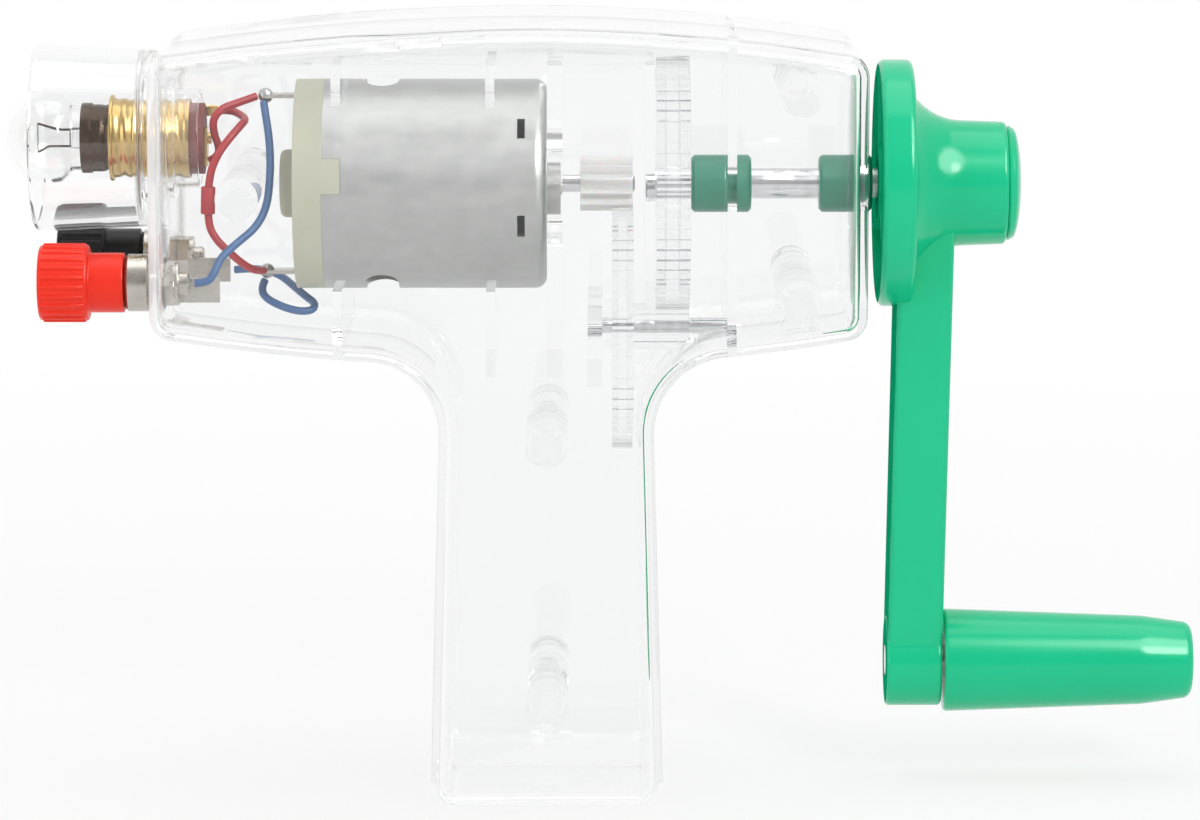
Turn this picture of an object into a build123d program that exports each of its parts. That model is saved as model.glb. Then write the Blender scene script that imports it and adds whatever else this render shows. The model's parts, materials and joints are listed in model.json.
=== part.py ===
"""Hand crank generator: a clear pistol-shaped housing, a crank, two gear stages, a motor that works as
the generator, a screw-base lamp and two binding posts.

Frame, in millimetres: X runs along the shafts towards the crank, -Y is the side that faces the viewer,
Z is up. The origin is the middle of the handle's flat foot. The housing parts on the plane Y = 0.
"""
import os
from math import acos, cos, pi, radians, sin, sqrt, tan

from build123d import *

os.makedirs("parts", exist_ok=True)

# ---- Fits -------------------------------------------------------------------------------------------
running_fit = 0.05      # radial clearance of a shaft that turns in its hole
seat_fit = 0.02         # clearance of a piece that is held where it is
side_gap = 0.3          # clearance along X between a turning piece and its fixed neighbour

# ---- Main axis and gear train --------------------------------------------------------------------------
axis_height = 80.5      # axis of the motor and of the crank shaft, above the foot
gear_module = 0.5
pressure_angle = radians(20)
motor_pinion_teeth = 12
wheel_teeth = 64        # large half of the compound gear, driven against the motor pinion
small_teeth = 10        # small half of the compound gear, driven by the crank gear
crank_gear_teeth = motor_pinion_teeth + wheel_teeth - small_teeth   # both pairs share one centre distance
motor_pair_shift = 0.3  # profile shift of the motor pinion, taken from the wheel
crank_pair_shift = 0.4  # profile shift of the small gear, taken from the crank gear
flank_thinning = 0.05   # taken from each tooth's thickness, for backlash
gear_distance = gear_module * (motor_pinion_teeth + wheel_teeth) / 2
layshaft_height = axis_height - gear_distance

# ---- Housing ---------------------------------------------------------------------------------------------
housing_front = -51.6
housing_rear = 41.8
barrel_crest = -2.0         # where the barrel is tallest, along X
barrel_end_half = 18.3      # half height of the barrel at its ends
barrel_crest_half = 22.2    # half height of the barrel at its crest
barrel_corner = 3.2
handle_neck_width = 27.8
handle_foot_width = 30.8
foot_corner = 3.0
neck_front_radius = 9.3
neck_rear_radius = 10.0
half_depth = 20.0           # depth of one half shell
wall = 1.6
outer_edge_round = 3.0
rib_thickness = 1.2
saddle_starts = (-27.7, -7.8)   # along X, of the two ribs that hold the motor's can
saddle_opening = 12.0       # half height of the gap in those ribs beside the can
shelf_start = -45.0         # along X, of the rib above the motor
shelf_rise = 16.2           # of that rib's underside, above the main axis
boss_radius = 2.8
pin_radius = 1.3
pin_length = 5.0
front_boss_x = -40.0
rear_boss_x = 33.0
rear_boss_drop = 13.4       # of the two rear bosses, above and below the main axis
upper_grip_boss_z = 48.0
lower_grip_boss_z = 13.0

# ---- Motor -------------------------------------------------------------------------------------------------
motor_front = 0.0           # plane of the can's closed end
motor_radius = 13.85
can_length = 29.3
can_wall = 1.0
can_edge_round = 1.6
can_boss_radius = 5.0
can_boss_length = 1.8
can_hole_radius = 2.25
can_hole_x = -21.7
can_slot_x = -3.3
can_slot_width = 1.0
can_slot_height = 3.0
can_slot_angle = 27.5       # of each slot, above and below the side
notch_length = 2.5
notch_height = 4.7
bell_length = 3.8
bell_spigot = 2.0
bell_boss_radius = 4.5
bell_boss_length = 2.2
motor_shaft_radius = 1.15
bearing_radius = 2.9
bearing_length = 2.4
magnet_thickness = 2.9
magnet_length = 20.0
magnet_span = 118.0         # degrees of arc of each magnet
air_gap = 0.5
core_length = 14.0
core_front = -7.0
core_poles = 3
core_hub_radius = 3.0
pole_width = 3.0
pole_shoe = 1.8
pole_shoe_span = 96.0
winding_side = 2.1          # thickness of a coil beside its pole
winding_end = 1.6           # reach of a coil past the core's ends
commutator_radius = 3.2
commutator_length = 4.0
commutator_gap = 0.6        # slit between two segments
terminal_reach = 11.7       # of the two terminals, from the motor axis
terminal_width = 2.8
terminal_thickness = 0.5
terminal_tail = 4.0         # of a terminal, behind the end bell
brush_size = 2.2
leaf_reach = 1.6            # of the brush leaves, past the end bell's spigot
bell_boss_wall = 0.8        # behind the rear bearing

# ---- Stations of the gear train along X --------------------------------------------------------------------
motor_pinion_start = 4.4
motor_pinion_width = 6.9
gear_rib_start = 12.9       # rib that carries the crank shaft's inner end
gear_rib_drop = 14.0        # reach of that rib below the main axis
wheel_width = 2.8
wheel_setback = 1.5         # of the wheel from the gear rib
wheel_rim = 1.6
wheel_web = 1.2
wheel_hub_radius = 3.4
wheel_hub_length = 1.0
crank_gear_width = 4.4
crank_gear_web = 1.8
crank_gear_rim = 1.8
crank_gear_hub_radius = 5.0
layshaft_radius = 1.0
layshaft_rib_start = 5.4
layshaft_rib_thickness = 1.9
layshaft_rib_reach = 5.5    # of that rib above and below the layshaft
bush_radius = 3.8
bush_groove_depth = 0.8
inner_bush_length = 7.9
bush_rib_start = 23.5
outer_bush_length = 7.0
outer_bush_proud = 1.2      # of the outer bush, past the housing's rear face
crank_shaft_radius = 2.0

# ---- Crank ---------------------------------------------------------------------------------------------------
crank_gap = 1.95            # between the housing's rear face and the crank's disc
disc_radius = 16.35
disc_thickness = 4.55
disc_edge_round = 0.9
disc_recess = 2.9           # depth of the moulded hollow in the disc's inner face
disc_recess_outer = 14.4
disc_recess_inner = 5.2
flare_radius = 12.0         # where the hub's flare meets the disc
flare_length = 6.8
hub_radius = 8.3
hub_length = 17.0           # from the disc's inner face to the cap
crank_throw = 64.5
arm_root_width = 12.4
arm_foot_width = 10.4
arm_thickness = 7.4
arm_root_start = 46.4       # inner face of the arm at the hub, along X
arm_foot_start = 45.3       # inner face of the arm at the foot, along X
arm_edge_round = 0.8
arm_boss_radius = 6.1
cap_radius = 7.6
cap_height = 2.0
cap_skirt = 1.5
cap_skirt_radius = 6.4
cap_skirt_wall = 0.9
screw_pocket_depth = 2.6
screw_head_radius = 2.9
screw_head_height = 1.7
screw_radius = 1.2
screw_length = 6.0

# ---- Grip ------------------------------------------------------------------------------------------------------
grip_length = 33.5
grip_root_radius = 6.9
grip_shoulder_radius = 5.95
grip_shoulder = 6.8         # from the grip's outer end back to the shoulder
grip_end_radius = 4.85
grip_end_corner = 1.0
grip_face_radius = 3.3
grip_pin_radius = 2.0
grip_pin_reach = 26.0       # of the pin inside the grip
barb_radius = 2.6
barb_length = 2.0

# ---- Lamp --------------------------------------------------------------------------------------------------------
lamp_rise = 6.0             # of the lamp's axis above the main axis
lamp_height = axis_height + lamp_rise
shroud_length = 16.1        # in front of the housing
shroud_front_radius = 12.4
shroud_rear_radius = 11.65
shroud_wall = 1.3
shroud_floor = 1.6
sleeve_radius = 6.6
sleeve_wall = 0.7
sleeve_end = 4.2            # of the sleeve, behind the housing's front wall
collar_radius = 7.9
collar_length = 1.0
socket_mouth = -57.7
socket_length = 10.6
socket_radius = 5.25
socket_bore = 4.8
socket_flange_radius = 5.7
socket_flange = 0.7
thread_pitch = 1.81
thread_depth = 0.22
socket_tab_length = 3.4     # of the solder tab, behind the socket
socket_tab_width = 1.8
socket_tab_thickness = 0.45
socket_tab_angle = 50.0     # of the tab, from the top towards the far side
socket_disc_length = 1.8
socket_disc_radius = 4.7
bulb_tip = -71.9
globe_radius = 6.0
globe_turn = 15.0           # degrees past the globe's widest place where its neck starts
glass_wall = 0.45
bulb_neck_radius = 4.3
bulb_base_start = -62.2
bulb_base_length = 11.4
bulb_base_radius = 4.65
bulb_base_wall = 0.35
contact_radius = 1.5
contact_length = 1.5
neck_floor = 0.8            # thickness of the neck's closed end
support_radius = 0.2
support_spread = 0.9        # of each support wire from the lamp's axis, in the neck
bead_radius = 1.4
bead_length = 1.6
support_root = 0.8          # of each support wire below the neck's floor
support_knees = (3.2, 4.4)  # from the base's front to each support wire's bend
filament_reach = 5.6        # from the base's front to the filament's ends
filament_spread = 1.9       # of the filament's ends from the lamp's axis
filament_sag = 0.5
filament_radius = 0.1

# ---- Binding posts ---------------------------------------------------------------------------------------------
post_spread = 13.0          # of each post from the parting plane
post_drop = 11.6            # of the posts below the main axis
post_height = axis_height - post_drop
post_radius = 1.5
post_collar_radius = 3.75
post_collar_length = 3.3
knob_gap = 0.15
knob_neck_radius = 3.9
knob_neck_length = 4.6
knob_radius = 5.2
knob_length = 6.5
knob_flutes = 16
knob_flute_radius = 0.55
knob_edge = 0.5
knob_wall = 1.6             # of a knob's closed outer end
nut_flats = 5.5
nut_length = 1.6
tag_thickness = 0.5
tag_radius = 2.9
tag_length = 5.6
tag_width = 3.2
post_tail = 1.4             # of a post, behind its nut and tag

# ---- Wires -------------------------------------------------------------------------------------------------------
wire_radius = 0.6
joint_radius = 1.0
sleeve_length = 3.6
heat_sleeve_radius = 0.95

# ---- Places that follow from the sizes above ---------------------------------------------------------------------
cavity_front = housing_front + wall
cavity_rear = housing_rear - wall
motor_rear = motor_front - can_length
bell_rear = motor_rear - bell_length
leaf_end = motor_rear + bell_spigot + leaf_reach
rear_bearing_start = bell_rear - bell_boss_length + bell_boss_wall
bulkhead_start = motor_front + 0.15
bulkhead_thickness = 2.0
bulkhead_hole = 8.0
motor_pinion_end = motor_pinion_start + motor_pinion_width
gear_rib_end = gear_rib_start + rib_thickness
wheel_end = gear_rib_start - wheel_setback
wheel_start = wheel_end - wheel_width
crank_gear_start = gear_rib_end + side_gap
crank_gear_end = crank_gear_start + crank_gear_width
inner_bush_start = crank_gear_end + side_gap
inner_bush_end = inner_bush_start + inner_bush_length
bush_rib_end = bush_rib_start + rib_thickness
outer_bush_end = housing_rear + outer_bush_proud
outer_bush_start = outer_bush_end - outer_bush_length
bush_groove_radius = bush_radius - bush_groove_depth
disc_start = housing_rear + crank_gap
disc_end = disc_start + disc_thickness
hub_end = disc_start + hub_length
screw_pocket_floor = hub_end - screw_pocket_depth
foot_height = axis_height - crank_throw
arm_boss_end = arm_foot_start + arm_thickness
grip_start = arm_boss_end + side_gap
grip_end = grip_start + grip_length
shroud_front = housing_front - shroud_length
socket_end = socket_mouth + socket_length
bulb_base_end = bulb_base_start + bulb_base_length
bulb_neck_end = bulb_base_start + 2.0
collar_start = housing_front - post_collar_length
knob_start = collar_start - knob_gap
knob_end = knob_start - knob_neck_length - knob_length
nut_end = cavity_front + nut_length
tag_end = nut_end + tag_thickness


# ---- Shape helpers -------------------------------------------------------------------------------------------------
def rod(start, end, radius, y=0.0, z=axis_height):
    """Round bar along X from start to end."""
    return Pos((start + end) / 2, y, z) * Rot(0, 90, 0) * Cylinder(radius, abs(end - start))


def ring(start, end, outer, inner, y=0.0, z=axis_height):
    """Round tube along X."""
    return rod(start, end, outer, y, z) - rod(start - 1, end + 1, inner, y, z)


def slab(start, end, y_low, y_high, z_low, z_high):
    """Box between two corners."""
    middle = ((start + end) / 2, (y_low + y_high) / 2, (z_low + z_high) / 2)
    return Pos(*middle) * Box(abs(end - start), abs(y_high - y_low), abs(z_high - z_low))


def turned(edges, y=0.0, z=axis_height):
    """Solid of revolution about X. The edges close a half section drawn as (x, radius)."""
    return Pos(0, y, z) * revolve(Plane.XZ * make_face(edges), Axis.X)


def turned_polygon(points, y=0.0, z=axis_height):
    """Solid of revolution about X from the corners of its half section."""
    return turned(Polyline(*points, close=True).edges(), y, z)


def across(sketch, start, end, y=0.0, z=axis_height):
    """Extrudes a sketch of the Y-Z plane from start to end along X."""
    return extrude(Pos(start, y, z) * (Plane.YZ * sketch), amount=end - start)


def along_depth(sketch, y_low, y_high):
    """Extrudes a sketch of the X-Z plane from y_low to y_high."""
    return extrude(Pos(0, y_high, 0) * (Plane.XZ * sketch), amount=y_high - y_low)


# ---- Gears -----------------------------------------------------------------------------------------------------------
def gear_outline(teeth, shift, tooth_angle, flank_points):
    """Involute gear outline in the Y-Z plane, with the middle of one tooth at tooth_angle (degrees)."""
    pitch = gear_module * teeth / 2
    base = pitch * cos(pressure_angle)
    tip = pitch + gear_module * (1 + shift)
    root = pitch - gear_module * (1.25 - shift)
    thickness = gear_module * (pi / 2 + 2 * shift * tan(pressure_angle)) - flank_thinning
    half_pitch_angle = thickness / (2 * pitch) + tan(pressure_angle) - pressure_angle

    def half_angle(radius):
        roll = acos(min(1.0, base / radius))
        return half_pitch_angle - (tan(roll) - roll)

    low = max(base, root)
    flank = [low + (tip - low) * i / (flank_points - 1) for i in range(flank_points)]
    side = [(root, half_angle(low))] if root < low else []
    side += [(radius, half_angle(radius)) for radius in flank]
    points = []
    for tooth in range(teeth):
        middle = radians(tooth_angle) + 2 * pi * tooth / teeth
        points += [(radius, middle - half) for radius, half in side]
        points += [(radius, middle + half) for radius, half in reversed(side)]
    return make_face(Polyline(*[(r * cos(a), r * sin(a)) for r, a in points], close=True))


def tip_radius(teeth, shift):
    return gear_module * (teeth / 2 + 1 + shift)


def motor_pinion():
    blank = across(gear_outline(motor_pinion_teeth, motor_pair_shift, -90 + 180 / motor_pinion_teeth, 4),
                   motor_pinion_start, motor_pinion_end)
    return blank - rod(motor_pinion_start - 1, motor_pinion_end + 1, motor_shaft_radius + seat_fit)


def compound_gear():
    """Wheel and small gear moulded in one, with a thin web between the wheel's rim and hub."""
    wheel = across(gear_outline(wheel_teeth, -motor_pair_shift, 90, 3), wheel_start, wheel_end,
                   z=layshaft_height)
    root = gear_module * (wheel_teeth / 2 - 1.25 - motor_pair_shift)
    hollow = (wheel_width - wheel_web) / 2
    for start in (wheel_start, wheel_end - hollow):
        wheel -= ring(start, start + hollow, root - wheel_rim, wheel_hub_radius, z=layshaft_height)
    hub = rod(wheel_start - wheel_hub_length, wheel_start, wheel_hub_radius, z=layshaft_height)
    small = across(gear_outline(small_teeth, crank_pair_shift, 90 + 180 / small_teeth, 4),
                   wheel_end, crank_gear_end, z=layshaft_height)
    bore = rod(wheel_start - wheel_hub_length - 1, crank_gear_end + 1, layshaft_radius + seat_fit, z=layshaft_height)
    return wheel + hub + small - bore


def crank_gear():
    blank = across(gear_outline(crank_gear_teeth, -crank_pair_shift, -90, 3), crank_gear_start, crank_gear_end)
    root = gear_module * (crank_gear_teeth / 2 - 1.25 - crank_pair_shift)
    hollow = (crank_gear_width - crank_gear_web) / 2
    for start in (crank_gear_start, crank_gear_end - hollow):
        blank -= ring(start, start + hollow, root - crank_gear_rim, crank_gear_hub_radius)
    return blank - rod(crank_gear_start - 1, crank_gear_end + 1, crank_shaft_radius + seat_fit)


def layshaft():
    """Steel pin whose ends turn in two ribs of the housing."""
    return rod(layshaft_rib_start, bush_rib_end, layshaft_radius, z=layshaft_height)


# ---- Housing ---------------------------------------------------------------------------------------------------------
def housing_outline():
    """Side view: a barrel with arched top and bottom, and a handle that widens towards its foot."""
    arches = []
    for side in (1, -1):
        crest = (barrel_crest, axis_height + side * barrel_crest_half)
        for end in (housing_front, housing_rear):
            heading = (1, 0) if end > barrel_crest else (-1, 0)
            arches.append(TangentArc(crest, (end, axis_height + side * barrel_end_half), tangent=heading))
    ends = [Line((end, axis_height - barrel_end_half), (end, axis_height + barrel_end_half))
            for end in (housing_front, housing_rear)]
    barrel = make_face(arches + ends)
    neck_z = axis_height - barrel_crest_half
    splay = (handle_foot_width - handle_neck_width) / 2 / neck_z
    top_z = axis_height
    top_half = handle_neck_width / 2 - splay * (top_z - neck_z)
    foot_half = handle_foot_width / 2
    handle = make_face(Polyline((-foot_half, 0), (foot_half, 0), (top_half, top_z), (-top_half, top_z),
                                close=True))
    outline = barrel + handle
    rounds = [((end, axis_height + side * barrel_end_half), barrel_corner)
              for end in (housing_front, housing_rear) for side in (1, -1)]
    rounds += [((side * foot_half, 0), foot_corner) for side in (1, -1)]
    rounds += [((-handle_neck_width / 2, neck_z), neck_front_radius),
               ((handle_neck_width / 2, neck_z), neck_rear_radius)]
    for (x, z), radius in rounds:
        corner = outline.vertices().sort_by_distance((x, z))[0]
        outline = fillet(corner, radius)
    return outline


def boss_places():
    """Middle of each pinned boss, in the X-Z plane."""
    return [(front_boss_x, axis_height), (rear_boss_x, axis_height + rear_boss_drop),
            (rear_boss_x, axis_height - rear_boss_drop), (0, upper_grip_boss_z), (0, lower_grip_boss_z)]


def depth_rod(x, z, radius, y_low, y_high):
    """Round bar along Y."""
    return Pos(x, (y_low + y_high) / 2, z) * Rot(90, 0, 0) * Cylinder(radius, y_high - y_low)


def housing_ribs():
    """Ribs and bosses of the near half, as blocks that the cavity is cut back to."""
    low, high = -half_depth, 0.0
    floor = axis_height - barrel_crest_half - 1
    roof = axis_height + barrel_crest_half + 1
    shelf_top = axis_height + shelf_rise + rib_thickness
    bulkhead_end = bulkhead_start + bulkhead_thickness
    bulkhead = slab(bulkhead_start, bulkhead_end, low, high, floor, shelf_top)
    bulkhead -= rod(bulkhead_start - 1, bulkhead_end + 1, bulkhead_hole)
    saddles = []
    for start in saddle_starts:
        saddle = slab(start, start + rib_thickness, low, high, floor, shelf_top)
        saddle -= slab(start - 1, start + rib_thickness + 1, low - 1, high + 1, axis_height - saddle_opening,
                       axis_height + saddle_opening)
        saddles.append(saddle - rod(start - 1, start + rib_thickness + 1, motor_radius + seat_fit))
    shelf = slab(shelf_start, gear_rib_end, low, high, shelf_top - rib_thickness, shelf_top)
    gear_rib = slab(gear_rib_start, gear_rib_end, low, high, axis_height - gear_rib_drop, shelf_top)
    bush_rib = slab(bush_rib_start, bush_rib_end, low, high, layshaft_height - layshaft_rib_reach, roof)
    layshaft_rib = slab(layshaft_rib_start, layshaft_rib_start + layshaft_rib_thickness, low, high,
                        layshaft_height - layshaft_rib_reach, layshaft_height + layshaft_rib_reach / 2)
    bosses = [depth_rod(x, z, boss_radius, low, high) for x, z in boss_places()]
    return [bulkhead, *saddles, shelf, gear_rib, bush_rib, layshaft_rib, *bosses]


def housing_half():
    """Near half without its pins: a shell with ribs, bosses and half round seats on the parting plane."""
    outline = housing_outline()
    body = along_depth(outline, -half_depth, 0)
    body = fillet(body.faces().sort_by(Axis.Y)[0].edges(), outer_edge_round)
    cavity_outline = offset(outline, -wall)
    cavity = along_depth(cavity_outline, -(half_depth - wall), 0)
    cavity = fillet(cavity.faces().sort_by(Axis.Y)[0].edges(), outer_edge_round - wall)
    for rib in housing_ribs():
        cavity -= rib
    half = body - cavity
    small_tip = tip_radius(small_teeth, crank_pair_shift)
    cuts = [
        rod(wheel_end, crank_gear_end + side_gap, small_tip + side_gap, z=layshaft_height),
        rod(crank_gear_end, bush_rib_start, layshaft_radius + side_gap, z=layshaft_height),
        rod(gear_rib_start - 1, gear_rib_end + 1, crank_shaft_radius + running_fit),
        rod(bush_rib_start - 1, bush_rib_end + 1, bush_groove_radius + seat_fit),
        rod(cavity_rear - 1, housing_rear + 1, bush_groove_radius + seat_fit),
        rod(layshaft_rib_start - 1, layshaft_rib_start + layshaft_rib_thickness + 1,
            layshaft_radius + running_fit, z=layshaft_height),
        rod(bush_rib_start - 1, bush_rib_end + 1, layshaft_radius + running_fit, z=layshaft_height),
        rod(housing_front - 1, cavity_front + 1, sleeve_radius + seat_fit, z=lamp_height),
        rod(housing_front - 1, cavity_front + 1, post_radius + seat_fit, -post_spread, post_height),
    ]
    for cut in cuts:
        half -= cut
    return half


def housing_near(half):
    for x, z in boss_places():
        half += depth_rod(x, z, pin_radius, -1, pin_length)
    return half


def housing_far(half):
    half = mirror(half, about=Plane.XZ)
    for x, z in boss_places():
        half -= depth_rod(x, z, pin_radius + seat_fit, -1, pin_length + 0.5)
    return half


# ---- Motor -----------------------------------------------------------------------------------------------------------
def can_notch(reach):
    """Block at the can's near side where the end bell's tab sits. The reach is measured from the axis."""
    return slab(motor_rear, motor_rear + notch_length, -reach, -reach + can_wall + 2,
                axis_height - notch_height / 2, axis_height + notch_height / 2)


def motor_can():
    inner = motor_radius - can_wall
    front = rod(motor_rear, motor_front, motor_radius)
    front = fillet(front.edges().sort_by(Axis.X)[-1], can_edge_round)
    can = front + rod(motor_front - can_wall, motor_front + can_boss_length, can_boss_radius)
    can -= rod(motor_rear - 1, motor_front - can_wall, inner)
    can -= rod(motor_front - can_wall - 1, motor_front + can_boss_length + 1, bearing_radius + seat_fit)
    can -= Pos(can_hole_x, 0, axis_height) * Cylinder(can_hole_radius, 3 * motor_radius)
    slot = slab(can_slot_x - can_slot_width / 2, can_slot_x + can_slot_width / 2,
                -motor_radius - 1, -inner + 1, -can_slot_height / 2, can_slot_height / 2)
    for angle in (can_slot_angle, -can_slot_angle):
        can -= Pos(0, 0, axis_height) * Rot(angle, 0, 0) * slot
    return can - can_notch(motor_radius + 1)


def motor_end_bell():
    """Moulded end cap with a spigot and a tab in the can, a rear boss and two terminal slots."""
    inner = motor_radius - can_wall - seat_fit
    bell = rod(bell_rear, motor_rear, motor_radius)
    bell += rod(motor_rear, motor_rear + bell_spigot, inner)
    tab = can_notch(motor_radius + 1) & rod(motor_rear, motor_rear + notch_length - 2 * seat_fit, motor_radius)
    tab &= slab(motor_rear, motor_front, -motor_radius - 1, 0, axis_height - notch_height / 2 + seat_fit,
                axis_height + notch_height / 2 - seat_fit)
    boss = rod(bell_rear - bell_boss_length, bell_rear, bell_boss_radius)
    boss = fillet(boss.edges().sort_by(Axis.X)[0], 0.8)
    bell = bell + tab + boss
    bell -= rod(rear_bearing_start, rear_bearing_start + bearing_length, bearing_radius + seat_fit)
    bell -= rod(bell_rear + bell_length / 2 - 1.2, motor_rear + bell_spigot + 1, inner - 2.0)
    bell -= rod(bell_rear - bell_boss_length - 1, motor_rear + 2, motor_shaft_radius + running_fit)
    for side in (1, -1):
        bell -= terminal_strip(side, seat_fit)
    return bell


def terminal_strip(side, clearance=0.0):
    """Flat strip through the end bell, above or below the motor's axis."""
    middle = axis_height + side * terminal_reach
    half = terminal_thickness / 2 + clearance
    return slab(bell_rear - terminal_tail, leaf_end, -terminal_width / 2 - clearance,
                terminal_width / 2 + clearance, middle - half, middle + half)


def motor_terminals():
    """Two strips whose inner ends turn in towards the commutator and carry the brushes."""
    pieces = []
    for side in (1, -1):
        inner = axis_height + side * (commutator_radius + running_fit + brush_size - 0.4)
        outer = axis_height + side * (terminal_reach + terminal_thickness / 2)
        leaf = slab(leaf_end - terminal_thickness, leaf_end, -terminal_width / 2, terminal_width / 2, inner, outer)
        pieces.append(terminal_strip(side) + leaf)
    return pieces


def motor_brushes():
    pieces = []
    for side in (1, -1):
        near = axis_height + side * (commutator_radius - 0.6)
        far = axis_height + side * (commutator_radius + running_fit + brush_size)
        block = slab(leaf_end + seat_fit, leaf_end + seat_fit + brush_size, -brush_size / 2, brush_size / 2,
                     near, far)
        pieces.append(block - rod(leaf_end - 1, leaf_end + brush_size + 2, commutator_radius + running_fit))
    return pieces


def motor_bearings():
    front_end = motor_front + can_boss_length
    bore = motor_shaft_radius + running_fit
    return [ring(rear_bearing_start, rear_bearing_start + bearing_length, bearing_radius, bore),
            ring(front_end - bearing_length, front_end, bearing_radius, bore)]


def motor_magnets():
    """Two arc magnets against the inside of the can."""
    outer = motor_radius - can_wall - seat_fit
    inner = outer - magnet_thickness
    start = core_front - core_length / 2 - magnet_length / 2
    half = radians(magnet_span / 2)
    pieces = []
    for side in (1, -1):
        def at(radius, angle):
            return (side * radius * cos(angle), radius * sin(angle))
        section = make_face([
            ThreePointArc(at(outer, -half), at(outer, 0), at(outer, half)),
            Line(at(outer, half), at(inner, half)),
            ThreePointArc(at(inner, half), at(inner, 0), at(inner, -half)),
            Line(at(inner, -half), at(outer, -half))])
        pieces.append(across(section, start, start + magnet_length))
    return pieces


def core_radius():
    return motor_radius - can_wall - seat_fit - magnet_thickness - air_gap


def pole_block():
    """One pole of the armature, upright, in the Y-Z plane."""
    outer = core_radius()
    shoe = Circle(outer) - Circle(outer - pole_shoe)
    half = radians(pole_shoe_span / 2)
    reach = 2 * outer
    shoe &= make_face(Polyline((0, 0), (-reach * sin(half), reach * cos(half)), (-reach, 2 * reach),
                               (reach, 2 * reach), (reach * sin(half), reach * cos(half)), close=True))
    stem = Pos(0, (outer - pole_shoe / 2) / 2) * Rectangle(pole_width, outer - pole_shoe / 2)
    return shoe + stem


def armature_core():
    """Laminated three pole core."""
    section = Circle(core_hub_radius)
    for pole in range(core_poles):
        section += Rot(0, 0, 360 * pole / core_poles) * pole_block()
    section -= Circle(motor_shaft_radius + seat_fit)
    return across(section, core_front - core_length, core_front)


def armature_windings():
    """One coil round the stem of each pole."""
    half_width = pole_width / 2 + winding_side
    low = core_hub_radius + 0.7
    high = sqrt((core_radius() - pole_shoe - 0.2) ** 2 - half_width ** 2)
    coil = slab(core_front - core_length - winding_end, core_front + winding_end, -half_width, half_width, low, high)
    coil = fillet(coil.edges().filter_by(Axis.Z), winding_end * 0.8)
    coil -= slab(core_front - core_length - seat_fit, core_front + seat_fit, -pole_width / 2 - seat_fit,
                 pole_width / 2 + seat_fit, low - 1, high + 1)
    return [Pos(0, 0, axis_height) * Rot(360 * pole / core_poles, 0, 0) * coil for pole in range(core_poles)]


def commutator():
    """Moulded drum with three slits between its copper segments."""
    start = leaf_end - 0.4
    drum = ring(start, start + commutator_length, commutator_radius, motor_shaft_radius + seat_fit)
    slit = slab(start - 1, start + commutator_length + 1, -commutator_gap / 2, commutator_gap / 2,
                commutator_radius - 0.5, commutator_radius + 1)
    for segment in range(core_poles):
        drum -= Pos(0, 0, axis_height) * Rot(60 + 360 * segment / core_poles, 0, 0) * slit
    return drum


def motor_shaft():
    start = rear_bearing_start + 0.1
    return chamfer(rod(start, motor_pinion_end + side_gap, motor_shaft_radius).edges(), 0.2)


# ---- Crank shaft and bushes ------------------------------------------------------------------------------------------
def grooved_bush(start, end, groove_start, groove_end):
    """Plastic bush with a groove that drops over the rib or wall that holds it."""
    bush = chamfer(rod(start, end, bush_radius).edges(), 0.4)
    bush -= ring(groove_start - seat_fit, groove_end + seat_fit, bush_radius + 1, bush_groove_radius)
    return bush - rod(start - 1, end + 1, crank_shaft_radius + running_fit)


def inner_bush():
    return grooved_bush(inner_bush_start, inner_bush_end, bush_rib_start, bush_rib_end)


def outer_bush():
    return grooved_bush(outer_bush_start, outer_bush_end, cavity_rear, housing_rear)


def crank_shaft():
    """Steel shaft from the gear rib to the bottom of the crank's screw pocket."""
    end = screw_pocket_floor - side_gap
    shaft = chamfer(rod(gear_rib_start, end, crank_shaft_radius).edges(), 0.3)
    return shaft - rod(end - screw_length - 1, end + 1, screw_radius + seat_fit)


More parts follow.
